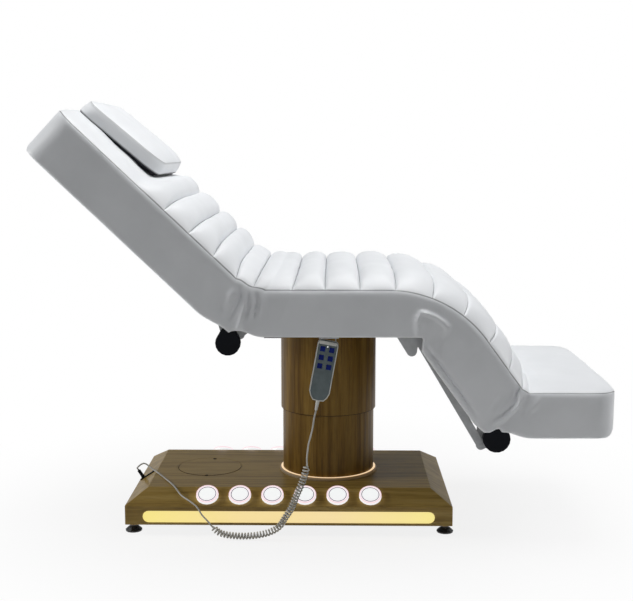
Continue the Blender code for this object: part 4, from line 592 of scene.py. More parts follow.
# %% Folds on the sides: how far each one is pushed out, its width, and its line (x, z)
LEG_STRIP = tuple(leg_to_world(station, -0.0375) for station in (0.030, 0.150, 0.262))
LEG_HEM = tuple(leg_to_world(station, -0.0470) for station in (0.030, 0.150, 0.258))
SIDE_FOLDS = (
    (-0.0060, 0.0042, ((-0.2290, 0.7060), (-0.2264, 0.6741), (-0.2442, 0.6351), (-0.2616, 0.6088))),
    (0.0062, 0.0060, ((-0.2180, 0.7000), (-0.2150, 0.6600), (-0.2260, 0.6150), (-0.2400, 0.5780))),
    (-0.0055, 0.0045, ((-0.1856, 0.6920), (-0.1834, 0.6569), (-0.1967, 0.6176))),
    (0.0055, 0.0070, ((-0.2392, 0.6990), (-0.2655, 0.6568))),
    (0.0050, 0.0062, ((-0.1990, 0.6900), (-0.1980, 0.6500), (-0.2110, 0.6000))),
    (-0.0045, 0.0045, ((-0.2560, 0.6800), (-0.2830, 0.6350))),
    (0.0040, 0.0070, ((-0.1660, 0.6850), (-0.1690, 0.6400), (-0.1760, 0.6150))),
    (-0.0036, 0.0060, ((-0.2070, 0.6850), (-0.2080, 0.6500), (-0.2180, 0.6200))),
    (-0.0085, 0.0036, ((0.5113, 0.4600), (0.5075, 0.4500), (0.4946, 0.4251), (0.4888, 0.4037))),
    (0.0085, 0.0050, ((0.5048, 0.4208), (0.4953, 0.3912), (0.4708, 0.3655), (0.4421, 0.3396))),
    (-0.0050, 0.0045, ((0.4980, 0.4180), (0.4880, 0.3930), (0.4650, 0.3720), (0.4440, 0.3540))),
    (0.0065, 0.0060, ((0.4614, 0.4164), (0.4452, 0.3910), (0.4249, 0.3653))),
    (0.0042, 0.0070, ((0.5568, 0.4130), (0.5240, 0.3702))),
    (-0.0036, 0.0055, ((0.5230, 0.4180), (0.5170, 0.3900), (0.5120, 0.3600))),
    (-0.0050, 0.0040, LEG_STRIP),
    (0.0022, 0.0055, LEG_HEM),
)
FOLD_REACH = 0.03


def from_line(x, z, line):
    """How far a place on the side is from a drawn line, and how far along the line's share."""
    best, at = 1.0, 0.0
    for index, ((ax, az), (bx, bz)) in enumerate(zip(line, line[1:])):
        run = (bx - ax) ** 2 + (bz - az) ** 2
        share = min(1.0, max(0.0, ((x - ax) * (bx - ax) + (z - az) * (bz - az)) / run))
        away = math.hypot(x - mix(ax, bx, share), z - mix(az, bz, share))
        if away < best:
            best, at = away, (index + share) / (len(line) - 1)
    return best, at


def fold_push(x, z):
    push = 0.0
    for height, width, line in SIDE_FOLDS:
        if min(p[0] for p in line) - FOLD_REACH < x < max(p[0] for p in line) + FOLD_REACH:
            away, at = from_line(x, z, line)
            push += height * bell(away, width) * soft_step(min(at, 1 - at), -0.10, 0.30)
    return push


# %% The bulge over the knee hinge
KNEE_BULGE = (
    (0.2300, 0.6230), (0.2400, 0.6380), (0.2548, 0.6370), (0.2795, 0.6260), (0.2990, 0.6130),
    (0.3110, 0.5990), (0.3110, 0.5840), (0.2980, 0.5620), (0.2860, 0.5300), (0.2400, 0.5300),
    (0.2310, 0.5700),
)
BULGE_LOW, BULGE_HIGH, BULGE_RIDGE, RIDGE_WIDTH = 0.0015, 0.0085, 0.0066, 0.0060


def inside(x, z, outline):
    within = False
    for (ax, az), (bx, bz) in zip(outline, outline[1:] + outline[:1]):
        if (az > z) != (bz > z) and x < (bx - ax) * (z - az) / (bz - az) + ax:
            within = not within
    return within


def bulge_push(x, z):
    if not (0.20 < x < 0.34 and 0.50 < z < 0.67):
        return 0.0  # too far away to matter
    away, _ = from_line(x, z, KNEE_BULGE + KNEE_BULGE[:1])
    signed = away if inside(x, z, KNEE_BULGE) else -away
    top = soft_step(z, 0.560, 0.615)
    ridge = BULGE_RIDGE * top * bell(signed, RIDGE_WIDTH)
    return mix(BULGE_LOW, BULGE_HIGH, top) * soft_step(signed, -0.008, 0.004) + ridge


print("folds on each side:", len(SIDE_FOLDS))

# %% [markdown]
# ## Sweeping a cover
# Every row becomes a ring of points: across the top, down one side, under, and back up the other
# side. A point's place along and round is kept in the UV map in metres, for the grain. Its
# distance from the nearest seam or stitch line is kept as an attribute, for the painted shade
# in the seams' grooves.

# %% Rings of a cover
HALF_SHARES = [0.85 * i / 17 for i in range(18)] + [0.85 + 0.15 * i / 14 for i in range(1, 15)]
TOP_SHARES = [-share for share in HALF_SHARES[:0:-1]] + HALF_SHARES
SIDE_STEPS = 26
UNDER_ROUND = 0.007
SEAM_NIP, SEAM_NIP_WIDTH = 0.0022, 0.0038
STITCH_NIP, STITCH_NIP_WIDTH = 0.0042, 0.0026
SIDE_ROLL, SIDE_ROLL_WIDTH = 0.0105, 0.014
TOP_NIP, TOP_NIP_WIDTH = 0.0018, 0.0045
SOFT_WAVE, PUCKER, EDGE_PUCKER, SIDE_WAVE = 0.0024, 0.0030, 0.0028, 0.0016
# Added to the distance from a stitch line, so stitch lines get lighter painted shade than the edge seams.
STITCH_SHADE_EASE = 0.0012
FAR_FROM_SEAM = 0.1


def cover_ring(row):
    """Points as (across, up), with each one's distance from a seam or stitch line."""
    part, crown, _, _, stitch = row
    here, there = part["seam"]
    half, low, high = part["half"], -part["side"] + part["rise"], -part["drop"]
    nip = STITCH_NIP * bell(stitch, STITCH_NIP_WIDTH)
    near = math.exp(-stitch / 0.014) * stitch / (stitch + 0.004)
    ring = []
    for t in TOP_SHARES:
        y = t * half
        lift = crown * part["fall"] * (1 - abs(t) ** 7)
        edge = half - abs(y)
        soft = SOFT_WAVE * ripple(here, y, there, 15.0, 3.0) * min(1.0, edge / 0.05)
        wide = PUCKER * near * ripple(here * 0.3, y, there * 0.3, 46.0, 11.0)
        fine = EDGE_PUCKER * near * math.exp(-edge / 0.030) * ripple(here * 0.5, y, there * 0.5, 90.0, 17.0)
        gather = wide * min(1.0, edge / 0.03) + fine
        seam = TOP_NIP * bell(edge, TOP_NIP_WIDTH)
        up = high + lift + (soft + gather) * part["fall"] - nip * min(1.0, edge / 0.012) - seam
        ring.append((y, up, min(stitch + STITCH_SHADE_EASE, edge)))
    under = min(UNDER_ROUND, (high - low) / 4)
    side = []
    for step in range(1, SIDE_STEPS + 1):
        share = step / SIDE_STEPS
        up = mix(high, low + under, share)
        roll = SIDE_ROLL * (1 - math.exp(-(high - up) / SIDE_ROLL_WIDTH)) * (1 - share) ** 1.2
        pull = SEAM_NIP * bell(high - up, SEAM_NIP_WIDTH) - roll * part["fall"]
        side.append((half - pull, up, high - up))
    for step in (1, 2, 3):
        angle = math.radians(30 * step)
        across = half - under * (1 - math.cos(angle))
        side.append((across, low + under * (1 - math.sin(angle)), FAR_FROM_SEAM))
    rim = half - RIM_WIDTH
    below = [(half - RIM_WIDTH * 0.62, low), (rim, low)]
    below += [(rim, low + part["pocket"] * share) for share in (0.33, 0.66, 1.0)]
    below += [(rim * share, low + part["pocket"]) for share in (0.8, 0.5, 0.2)]
    side += [(across, up, FAR_FROM_SEAM) for across, up in below]
    return ring + side + [(-across, up, away) for across, up, away in reversed(side)]


def ring_in_place(row):
    """The ring's points at their place on the couch, folds and bulge included."""
    part = row[0]
    (x, z), (up_x, up_z) = part["seam"], part["up"]
    placed = []
    top_count = len(TOP_SHARES)
    for index, (across, up, away) in enumerate(cover_ring(row)):
        at_x, at_z = x + up_x * up, z + up_z * up
        on_side = index >= top_count - 3 or index < 3
        if on_side and abs(across) > part["half"] - 0.016 and up <= 0.002:
            side = 1 if across > 0 else -1
            fade = soft_step(-up, 0.0, 0.012)
            across += side * (fold_push(at_x, at_z) * fade + bulge_push(at_x, at_z))
            across += side * SIDE_WAVE * fade * ripple(at_x, side * 2.0, at_z, 11.0, 7.0)
        placed.append((Vector((at_x, across, at_z)), away))
    return placed


# %% Sweep the covers
CAP_BULGE, CAP_RINGS = 0.004, 9
CUT_INSET, CUT_LAP = 0.0004, 0.003
SAME_POINT = 0.00002
UV_JUMP = 0.3


def end_cap(work, verts, ahead):
    """Closes an end with shrinking rings that swell outwards, most in the middle."""
    outward = sum((v.co.cross(w.co) for v, w in zip(verts, verts[1:] + verts[:1])), Vector()).normalized()
    outward *= math.copysign(1.0, outward.dot(ahead))
    centre = sum((v.co for v in verts), Vector()) / len(verts)
    reach = []
    for line in (Vector((0.0, 1.0, 0.0)), outward.cross(Vector((0.0, 1.0, 0.0))).normalized()):
        far = [(v.co - centre).dot(line) for v in verts]
        centre = centre + line * (max(far) + min(far)) / 2
        reach.append(line / ((max(far) - min(far)) / 2))
    rings = [verts]
    for level in range(1, CAP_RINGS + 1):
        ring = []
        for vert in verts:
            away = (vert.co - centre) * (1 - level / (CAP_RINGS + 1))
            swell = CAP_BULGE * (1 - away.dot(reach[0]) ** 2) * (1 - away.dot(reach[1]) ** 2)
            ring.append(work.verts.new(centre + away + outward * swell))
        rings.append(ring)
    bridge(work, rings)
    work.faces.new(rings[-1])


def cut_end(work, ring, row, ahead):
    """Closes a cut end just inside the skin in three faces: the slab and the two rims beside the hollow."""
    middle = sum((v.co for v in ring), Vector()) / len(ring)
    step_in = [work.verts.new(v.co + (middle - v.co).normalized() * CUT_INSET) for v in ring]
    lap = [work.verts.new(v.co + ahead.normalized() * CUT_LAP) for v in step_in]
    bridge(work, (ring, step_in, lap))
    top = len(TOP_SHARES)
    right = lap[top:top + (len(lap) - top) // 2]
    left = lap[:top + len(right) - 1:-1]
    deep = row[0]["side"] - row[0]["rise"]
    level = (deep - row[0]["pocket"]) / (deep - UNDER_ROUND)
    turn_in, corner = round(SIDE_STEPS * level), len(right) - 4
    near, far = right[:turn_in + 1] + right[corner:], left[:corner - 1:-1] + left[turn_in::-1]
    work.faces.new(lap[:top] + near + far)
    for rim in (right, left):
        work.faces.new(rim[turn_in:corner + 1])


def sweep(name, rows, round_first=False, round_last=False):
    """A closed skin through the rows' rings, with a rounded or a cut end at each end."""
    work = bmesh.new()
    uv = work.loops.layers.uv.new("UVMap")
    stitch = work.verts.layers.float.new("stitch")
    rings, places = [], {}
    for row in rows:
        ring = []
        round_at = 0.0
        last = None
        for point, away in ring_in_place(row):
            vert = work.verts.new(point)
            vert[stitch] = away
            round_at += (point - last).length if last is not None else 0.0
            places[vert] = (row[3], round_at)
            last = point
            ring.append(vert)
        rings.append(ring)
    bridge(work, rings)
    for row, ring, other, rounded in (
        (rows[0], rings[0], rings[1], round_first), (rows[-1], rings[-1], rings[-2], round_last),
    ):
        ahead = ring[0].co - other[0].co
        if rounded:
            end_cap(work, ring, ahead)
        else:
            cut_end(work, ring, row, ahead)
    bmesh.ops.remove_doubles(work, verts=work.verts, dist=SAME_POINT)
    bmesh.ops.recalc_face_normals(work, faces=work.faces)
    for vert in work.verts:
        if vert not in places:
            vert[stitch] = FAR_FROM_SEAM
    for face in work.faces:
        face.smooth = True
        for loop in face.loops:
            loop[uv].uv = places.get(loop.vert, (0.0, 0.0))
        far = [loop[uv].uv.y for loop in face.loops]
        if max(far) - min(far) > UV_JUMP:
            for loop in face.loops:
                if loop[uv].uv.y < UV_JUMP:
                    loop[uv].uv.y = max(far)
    return object_from(work, name)


back_cover = sweep("back_cover", back_rows, round_first=True)
seat_cover = sweep("seat_and_knee_cover", seat_rows)
leg_cover = sweep("leg_and_foot_cover", leg_rows, round_last=True)
couch_covers = (back_cover, seat_cover, leg_cover)
for cover in couch_covers:
    shade_smooth(cover, 62.0)
    print(cover.name, len(cover.data.polygons), "faces")

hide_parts("backrest_cushion", "back_crease")
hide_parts("seat_cushion", "knee_roll")
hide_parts("leg_cushion", "foot_crease", "foot_cushion")

# %% [markdown]
# ## The pillow
# A loose head pillow lies on the plain end of the back: a crowned top panel, a band round the side
# sewn to it along both edges, rounded corners, and a dark non-slip cloth below. It only touches the
# couch at its head edge and on the last channel, so a dark wedge of shadow shows under its side.
# The cloth's black also runs up the band's lower edge as a thin line of painted shade.

# %% Pillow
PILLOW_HEAD = (0.7160, 0.1555)
PILLOW_LENGTH, PILLOW_HALF, PILLOW_CORNER = 0.272, 0.212, 0.050
PILLOW_UNDER, PILLOW_CROWN = 0.045, 0.015
PILLOW_TILT = math.radians(3.6)
PLAN_CORNER_STEPS, PLAN_GAP = 8, 0.011
PILLOW_SIDE_FROM, PILLOW_SIDE_TO = PILLOW_UNDER - 0.0015, 0.0080
TOP_LAYERS, SIDE_LAYERS, CLOTH_LAYERS = 18, 8, 8
pillow_head = back_to_world(*PILLOW_HEAD)


def pillow_point(along, across, up):
    """along runs from the head edge towards the neck, up is square to the pillow."""
    x, z = beside(pillow_head, BACK_ANGLE - PILLOW_TILT, along, up)
    return Vector((x, across, z))


def rounded_plan(half_long, half_wide, corner):
    """A closed outline with round corners, evenly stepped."""
    corners = []
    for sx, sy, start in ((1, 1, 0), (-1, 1, 90), (-1, -1, 180), (1, -1, 270)):
        turns = [math.radians(start + 90 * i / PLAN_CORNER_STEPS) for i in range(PLAN_CORNER_STEPS + 1)]
        cx, cy = sx * (half_long - corner), sy * (half_wide - corner)
        corners.append([(cx + corner * math.cos(a), cy + corner * math.sin(a)) for a in turns])
    outline = []
    for points, following in zip(corners, corners[1:] + corners[:1]):
        (hx, hy), (ax, ay) = points[-1], following[0]
        count = max(1, round(math.hypot(ax - hx, ay - hy) / PLAN_GAP))
        outline += points + [(mix(hx, ax, i / count), mix(hy, ay, i / count)) for i in range(1, count)]
    return outline


def pillow_layers():
    """(share of the plan, height, distance from a seam) from the middle of the top to the middle below."""
    layers = []
    for step in range(1, TOP_LAYERS + 1):
        share = step / TOP_LAYERS
        lift = PILLOW_CROWN * (1 - share**5) ** 0.9
        layers.append((share * 0.945, PILLOW_UNDER + lift, 0.21 * (1 - share) + 0.003))
    layers.append((0.953, PILLOW_UNDER - 0.0008, 0.0014))
    for step in range(1, SIDE_LAYERS + 1):
        share = step / SIDE_LAYERS
        out = mix(0.955, 1.0, share) + 0.012 * math.sin(math.pi * share)
        layers.append((out, mix(PILLOW_SIDE_FROM, PILLOW_SIDE_TO, share), 0.02 * min(share, 1 - share)))
    layers.append((0.965, 0.0012, 0.0))
    left = [1 - step / (CLOTH_LAYERS + 1) for step in range(1, CLOTH_LAYERS + 1)]
    return layers + [(0.955 * share, 0.0004, FAR_FROM_SEAM) for share in left]


def make_pillow():
    work = bmesh.new()
    stitch = work.verts.layers.float.new("stitch")
    uv = work.loops.layers.uv.new("UVMap")
    plan = rounded_plan(PILLOW_LENGTH / 2, PILLOW_HALF, PILLOW_CORNER)
    rings, layers = [], pillow_layers()
    for share, up, away in layers:
        ring = []
        for long, wide in plan:
            lift = 0.0015 * ripple(long * share, wide * share, up, 22.0, 5.0) if up > PILLOW_UNDER else 0.0
            side = 1 + 0.006 * ripple(long, wide, up * 3, 20.0, 9.0) if 0.98 < share else 1.0
            point = pillow_point(PILLOW_LENGTH / 2 + long * share * side, wide * share * side, up + lift)
            vert = work.verts.new(point)
            vert[stitch] = away
            ring.append(vert)
        rings.append(ring)
    work.faces.new(list(reversed(rings[0])))
    bridge(work, rings)
    work.faces.new(rings[-1])
    bmesh.ops.recalc_face_normals(work, faces=work.faces)
    order = {vert: (ring, place) for ring, verts in enumerate(rings) for place, vert in enumerate(verts)}
    # The band's lowest strip takes the black cloth too, as a thin line of painted shade where the gap below
    # the pillow is dark.
    dark_from = len(layers) - CLOTH_LAYERS - 2  # the band's lower edge and all below it
    for face in work.faces:
        face.smooth = True
        face.material_index = int(min(order[v][0] for v in face.verts) >= dark_from)
        for loop in face.loops:
            level, place = order[loop.vert]
            long, wide = plan[place]
            loop[uv].uv = (long * layers[level][0], wide * layers[level][0])
    return object_from(work, "head_pillow")


pillow = make_pillow()
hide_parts("pillow")
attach(pillow, "pillow")
print("pillow faces:", len(pillow.data.polygons))

# %% [markdown]
# ## White leatherette
# The covers are a tight coated fabric: nearly white, slightly cool, with a very fine grain and a soft
# sheen. A thin line of painted shade darkens the colour in every seam and stitch line, where the
# groove's shadow falls. The grain is bump, driven by the UV map in metres, so it keeps its size
# everywhere and moves with the cover when it bends.

# %% Leatherette
def shader(name):
    made = bpy.data.materials.new(name)
    made.use_nodes = True
    tree = made.node_tree
    tree.nodes.clear()
    return made, tree


def node(tree, kind, **values):
    """Adds a node. A value sets the node's own property of that name, or else its input."""
    made = tree.nodes.new(kind)
    for key, value in values.items():
        if hasattr(made, key):
            setattr(made, key, value)
        else:
            made.inputs[key.replace("_", " ")].default_value = value
    return made


def join(tree, *pairs):
    for source, target in pairs:
        tree.links.new(source, target)


def surface(tree, base, roughness, metallic=0.0, specular=0.5, coat=0.0, coat_roughness=0.1):
    made = node(tree, "ShaderNodeBsdfPrincipled", Roughness=roughness, Metallic=metallic)
    made.inputs["Base Color"].default_value = (*base, 1.0)
    made.inputs["Specular IOR Level"].default_value = specular
    made.inputs["Coat Weight"].default_value = coat
    made.inputs["Coat Roughness"].default_value = coat_roughness
    out = node(tree, "ShaderNodeOutputMaterial")
    join(tree, (made.outputs[0], out.inputs["Surface"]))
    return made


def ramp(tree, source, stops):
    """A colour ramp fed by source, through (position, colour) stops."""
    made = node(tree, "ShaderNodeValToRGB")
    elements = made.color_ramp.elements
    while len(elements) < len(stops):
        elements.new(0.5)
    for element, (position, colour) in zip(elements, stops):
        element.position = position
        element.color = (*colour, 1.0)
    join(tree, (source, made.inputs["Fac"]))
    return made.outputs["Color"]


def ranged(tree, source, low, high, start=0.0, end=1.0, kind="LINEAR"):
    """Maps a source that runs from start to end onto low to high."""
    made = node(
        tree, "ShaderNodeMapRange", interpolation_type=kind,
        From_Min=start, From_Max=end, To_Min=low, To_Max=high,
    )
    join(tree, (source, made.inputs["Value"]))
    return made.outputs["Result"]


def textures(tree, place, *settings):
    """Textures of the given (kind, scale, detail), all placed alike. Returns their values."""
    made = []
    for kind, scale, detail in settings:
        texture = node(tree, "ShaderNodeTex" + kind, Scale=scale)
        if detail:
            texture.inputs["Detail"].default_value = detail
        join(tree, (place, texture.inputs["Vector"]))
        made.append(texture.outputs["Distance" if kind == "Voronoi" else "Fac"])
    return made


def darkened(tree, skin, tone, shade):
    """Gives the skin a tone, darkened by a shade from 0 to 1."""
    made = node(tree, "ShaderNodeMix", data_type="RGBA", blend_type="MULTIPLY", Factor=1.0)
    join(
        tree, (tone, made.inputs["A"]), (shade, made.inputs["B"]),
        (made.outputs["Result"], skin.inputs["Base Color"]),
    )


def worked(tree, skin, wear, rough, height, bump):
    """Varies the skin's roughness by its wear and raises its surface by a height."""
    lump = node(tree, "ShaderNodeBump", Strength=bump, Distance=0.0004)
    join(
        tree, (ranged(tree, wear, *rough), skin.inputs["Roughness"]),
        (height, lump.inputs["Height"]), (lump.outputs[0], skin.inputs["Normal"]),
    )
    return lump


def leatherette(name, dark, light):
    made, tree = shader(name)
    skin = surface(tree, light, 0.42, specular=0.45)
    place = node(tree, "ShaderNodeUVMap", uv_map="UVMap").outputs["UV"]
    blotch, grain, wear = textures(
        tree, place, ("Noise", 9.0, 3.0), ("Voronoi", 620.0, None), ("Noise", 70.0, 4.0),
    )
    tone = ramp(tree, blotch, ((0.30, dark), (0.65, light)))
    # Painted shade: the colour darkens to 0.22 of its tone within 3 mm of a seam or stitch line, where the
    # groove's shadow falls.
    away = node(tree, "ShaderNodeAttribute", attribute_name="stitch")
    darkened(tree, skin, tone, ranged(tree, away.outputs["Fac"], 0.22, 1.0, 0.0, 0.0030, "SMOOTHSTEP"))
    fine = worked(tree, skin, wear, (0.34, 0.50), grain, 0.10)
    slack = node(tree, "ShaderNodeBump", Strength=0.25, Distance=0.0008)
    join(tree, (wear, slack.inputs["Height"]), (slack.outputs[0], fine.inputs["Normal"]))
    return made


white_leather = leatherette("white_leatherette", (0.80, 0.815, 0.835), (0.84, 0.855, 0.875))
for cover in (*couch_covers, pillow):
    cover.data.materials.append(white_leather)
print("covers finished in", white_leather.name)


# %% Cloth below the pillow, which also paints a shade line on the band's lower edge, and the cord's sleeve
def speckled(name, dark, light, scale, roughness, bump, specular=0.5, metallic=0.0):
    """A moulded or woven finish: two close tones, a little varied roughness and fine bump."""
    made, tree = shader(name)
    skin = surface(tree, light, roughness, metallic, specular)
    place = node(tree, "ShaderNodeTexCoord").outputs["Object"]
    spots, broad = textures(tree, place, ("Noise", scale, 5.0), ("Noise", scale / 14, 2.0))
    join(tree, (ramp(tree, broad, ((0.3, dark), (0.7, light))), skin.inputs["Base Color"]))
    worked(tree, skin, spots, (roughness - 0.07, roughness + 0.07), spots, bump)
    return made


# Black cloth for the pillow's underside, also used as painted shade along the band's lower edge.
black_cloth = speckled("black_cloth", (0.004, 0.004, 0.008), (0.010, 0.010, 0.018), 900.0, 0.85, 0.6)
pillow.data.materials.append(black_cloth)
cord_grey = speckled("cord_grey", (0.50, 0.49, 0.45), (0.62, 0.60, 0.55), 500.0, 0.45, 0.2)
cord.data.materials.append(cord_grey)

# %% [markdown]
# ## Oak veneer
# The plinth and the sleeves are covered in stained oak: long fine grain, broad cathedral figures,
# and short dark pores. The grain runs up the sleeves and along the plinth, so the same recipe is
# made once per direction, with the noise stretched along that direction. The sleeves get darker
# tones as painted shade under the couch, and the plinth lighter tones as painted light.

# %% Oak
def oak(name, stretch_by, tones, seed=0.0, coat=0.0):
    made, tree = shader(name)
    skin = surface(tree, tones[1], 0.46, specular=0.16, coat=coat, coat_roughness=0.22)
    place = node(tree, "ShaderNodeTexCoord")
    drawn = node(tree, "ShaderNodeMapping", Scale=stretch_by)
    drawn.inputs["Location"].default_value = (seed, seed, seed)
    join(tree, (place.outputs["Object"], drawn.inputs["Vector"]))
    fibre, pores = textures(tree, drawn.outputs[0], ("Noise", 150.0, 6.0), ("Noise", 320.0, 2.0))
    figure = node(tree, "ShaderNodeTexNoise", Scale=5.0, Detail=2.0, Distortion=0.5)
    rings = node(tree, "ShaderNodeMath", operation="MULTIPLY")
    rings.inputs[1].default_value = 70.0
    waves = node(tree, "ShaderNodeMath", operation="SINE")
    blend = node(tree, "ShaderNodeMix", data_type="FLOAT", Factor=0.70)
    join(
        tree, (drawn.outputs[0], figure.inputs["Vector"]), (figure.outputs["Fac"], rings.inputs[0]),
        (rings.outputs[0], waves.inputs[0]), (fibre, blend.inputs["B"]),
        (ranged(tree, waves.outputs[0], 0.0, 1.0, -1.0), blend.inputs["A"]),
    )
    tone = ramp(tree, blend.outputs["Result"], ((0.22, tones[0]), (0.50, tones[1]), (0.80, tones[2])))
    open_pores = ranged(tree, pores, 0.78, 1.0, 0.34, 0.46)
    darkened(tree, skin, tone, open_pores)
    worked(tree, skin, fibre, (0.34, 0.50), open_pores, 0.25)
    return made


# The darkest, middle and lightest tone of each: one oak, darker on the sleeves as painted shade, lighter on
# the plinth as painted light
COLUMN_TONES_PAINTED_SHADE = ((0.105, 0.050, 0.005), (0.195, 0.106, 0.016), (0.270, 0.160, 0.034))
PLINTH_TONES_PAINTED_LIGHT = ((0.264, 0.162, 0.034), (0.388, 0.250, 0.062), (0.470, 0.322, 0.098))
column_oak = oak("column_oak", (1.0, 1.0, 0.05), COLUMN_TONES_PAINTED_SHADE)
plinth_oak = oak("plinth_oak", (0.05, 1.0, 1.0), PLINTH_TONES_PAINTED_LIGHT, 3.0, 0.20)


def finish_nodes(finish, *names):
    for name in names:
        data = nodes[name].data
        data.materials.clear()
        data.materials.append(finish)


finish_nodes(column_oak, "upper_sleeve", "lower_sleeve")
finish_nodes(plinth_oak, "plinth_shell", "service_cover")

# %% [markdown]
# ## Plastics, steel and rubber
# The hidden frame is powder-coated steel, the shafts are bare, the joints' covers are matt black
# plastic and the handset's is a cool grey. All have the fine texture of their making and not one
# flat colour, because close views show it.

# %% Plastics, steel and rubber
grey_steel = speckled(
    "grey_steel", (0.42, 0.43, 0.44), (0.50, 0.51, 0.52), 700.0, 0.50, 0.25, metallic=0.15,
)
bright_steel = speckled(
    "bright_steel", (0.55, 0.55, 0.56), (0.66, 0.66, 0.67), 400.0, 0.25, 0.08, metallic=1.0,
)
black_plastic = speckled(
    "black_plastic", (0.0015, 0.002, 0.004), (0.003, 0.004, 0.007), 600.0, 0.50, 0.35, specular=0.10,
)
black_rubber = speckled("black_rubber", (0.006, 0.006, 0.006), (0.014, 0.014, 0.014), 300.0, 0.65, 0.4)
board = speckled("board", (0.20, 0.15, 0.09), (0.28, 0.21, 0.13), 120.0, 0.70, 0.5)
handset_grey = speckled(
    "handset_grey", (0.115, 0.145, 0.15), (0.15, 0.185, 0.19), 800.0, 0.40, 0.15, specular=0.3,
)
key_blue = speckled("key_blue", (0.002, 0.010, 0.13), (0.004, 0.018, 0.18), 500.0, 0.45, 0.1, specular=0.12)
rose_gold = speckled("rose_gold", (0.72, 0.40, 0.25), (0.86, 0.50, 0.33), 200.0, 0.22, 0.05, metallic=1.0)

# %% [markdown]
# ## Lit trims
# Two warm light strips run along the plinth, and round white lamps stand on its slopes. The real
# ones are frosted covers over diodes, so they glow evenly with a slightly deeper edge. An emission
# with a gentle gradient at the colour that the camera sees does this without lighting the room.

# %% Lit strips and lamps
def glowing(name, axis, start, end, strength, *stops, base=(0.25, 0.22, 0.16)):
    """A glow with (position, colour) stops from start to end along an axis."""
    made, tree = shader(name)
    skin = surface(tree, base, 0.35)
    place = node(tree, "ShaderNodeTexCoord")
    split = node(tree, "ShaderNodeSeparateXYZ")
    join(tree, (place.outputs["Object"], split.inputs[0]))
    tone = ramp(tree, ranged(tree, split.outputs[axis], 0.0, 1.0, start, end), stops)
    join(tree, (tone, skin.inputs["Emission Color"]))
    skin.inputs["Emission Strength"].default_value = strength
    return made


warm_light = glowing(
    "warm_light", "X", -0.51, 0.294, 0.85,
    (0.0, (0.98, 0.82, 0.22)), (0.35, (0.97, 0.76, 0.33)),
    (0.65, (0.96, 0.75, 0.36)), (1.0, (0.98, 0.83, 0.26)),
)
white_light = glowing(
    "white_light", "Z", 0.08, 0.12, 0.90, (0.0, (0.90, 0.90, 0.94)), (1.0, (0.92, 0.95, 0.96)),
)
lamp_edge = glowing(
    "lamp_edge", "Z", 0.08, 0.12, 0.9, (0.0, (0.95, 0.66, 0.74)), (1.0, (0.97, 0.72, 0.80)),
)
ring_light = glowing(
    "ring_light", "Z", 0.1217, 0.1307, 0.9,
    (0.0, (0.03, 0.016, 0.004)), (0.86, (0.08, 0.04, 0.01)),
    (0.94, (1.0, 0.62, 0.30)), (1.0, (1.0, 0.74, 0.46)),
)
# The levelling feet's necks glow gold above a height: painted highlight for their warm reflection, not a
# lamp.
foot_gold = glowing(
    "foot_gold", "Z", 0.0, 0.03, 0.6,
    (0.0, (0.0, 0.0, 0.0)), (0.55, (0.0, 0.0, 0.0)), (0.75, (0.30, 0.17, 0.04)), (1.0, (0.55, 0.36, 0.12)),
    base=(0.010, 0.009, 0.008),
)
lamp_mark = speckled("lamp_mark", (0.17, 0.02, 0.16), (0.28, 0.05, 0.24), 300.0, 0.40, 0.1)
# Dark pieces of painted shade, put where gaps and recesses lie in shadow.
gap_dark = speckled(
    "gap_dark", (0.012, 0.009, 0.006), (0.020, 0.015, 0.010), 300.0, 0.70, 0.3, specular=0.1,
)
# A light trim colour, used for the handset's back and as painted highlight on its rim and cap.
handset_trim = speckled("handset_trim", (0.66, 0.65, 0.60), (0.76, 0.75, 0.70), 700.0, 0.40, 0.1)

# %% Finishes for the frame's nodes, by the slot that each is named after
# Blender ends some of the names in .001, because the frame's own materials already have them.
by_slot = {finish.name.split(".")[0]: finish for finish in (
    grey_steel, bright_steel, black_plastic, black_rubber, board, handset_grey, key_blue, rose_gold,
    cord_grey, white_leather, warm_light, white_light,
)}
for part in frame["record"]["subparts"]:
    if part["material_slot"] in by_slot:
        finish_nodes(by_slot[part["material_slot"]], part["node"])
finish_nodes(ring_light, "column_ring")
finish_nodes(handset_trim, "handset_back")
finish_nodes(grey_steel, "handset_hook")
finish_nodes(foot_gold, *(name for name in nodes if name.startswith("levelling_foot")))
print("finishes:", len(by_slot) + 9)

# %% [markdown]
# ## Small fittings
# The lamps have a thin dark ring printed on the lens and a soft pink rim. The service cover's fine
# gap and two finger notches, and the gap below the upper sleeve, are dark pieces of painted shade.
# The handset has a light rim and a cap of painted highlight, where its edges catch the light from
# above, and one small indicator. Each starts as a primitive at its place, and some are shaped
# further in edit mode.

# %% Fittings: helper
def settle(name, finish, body="base"):
    """Applies the modelled piece's place and turn, then names it, finishes it and fixes it to its body."""
    piece = bpy.context.object
    pick(piece)
    bpy.ops.object.transform_apply(location=True, rotation=True, scale=True)
    piece.name = name
    piece.data.name = name
    piece.data.materials.append(finish)
    shade_smooth(piece)
    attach(piece, body)
    return piece


def copied(piece, name, move, mirrored=False):
    """A copy with its own mesh, moved or mirrored in the mesh itself."""
    made = new_object(name, piece.data.copy())
    if mirrored:
        made.data.transform(Matrix.Scale(-1.0, 4, (0.0, 1.0, 0.0)))
        made.data.flip_normals()
    made.data.transform(Matrix.Translation(move))
    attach(made, "base")


def ring_at(place, radius, wire, around, about, turn=(0.0, 0.0, 0.0)):
    """A torus of so many segments around the ring and about its wire."""
    bpy.ops.mesh.primitive_torus_add(
        major_radius=radius, minor_radius=wire, major_segments=around, minor_segments=about,
        location=place, rotation=turn,
    )


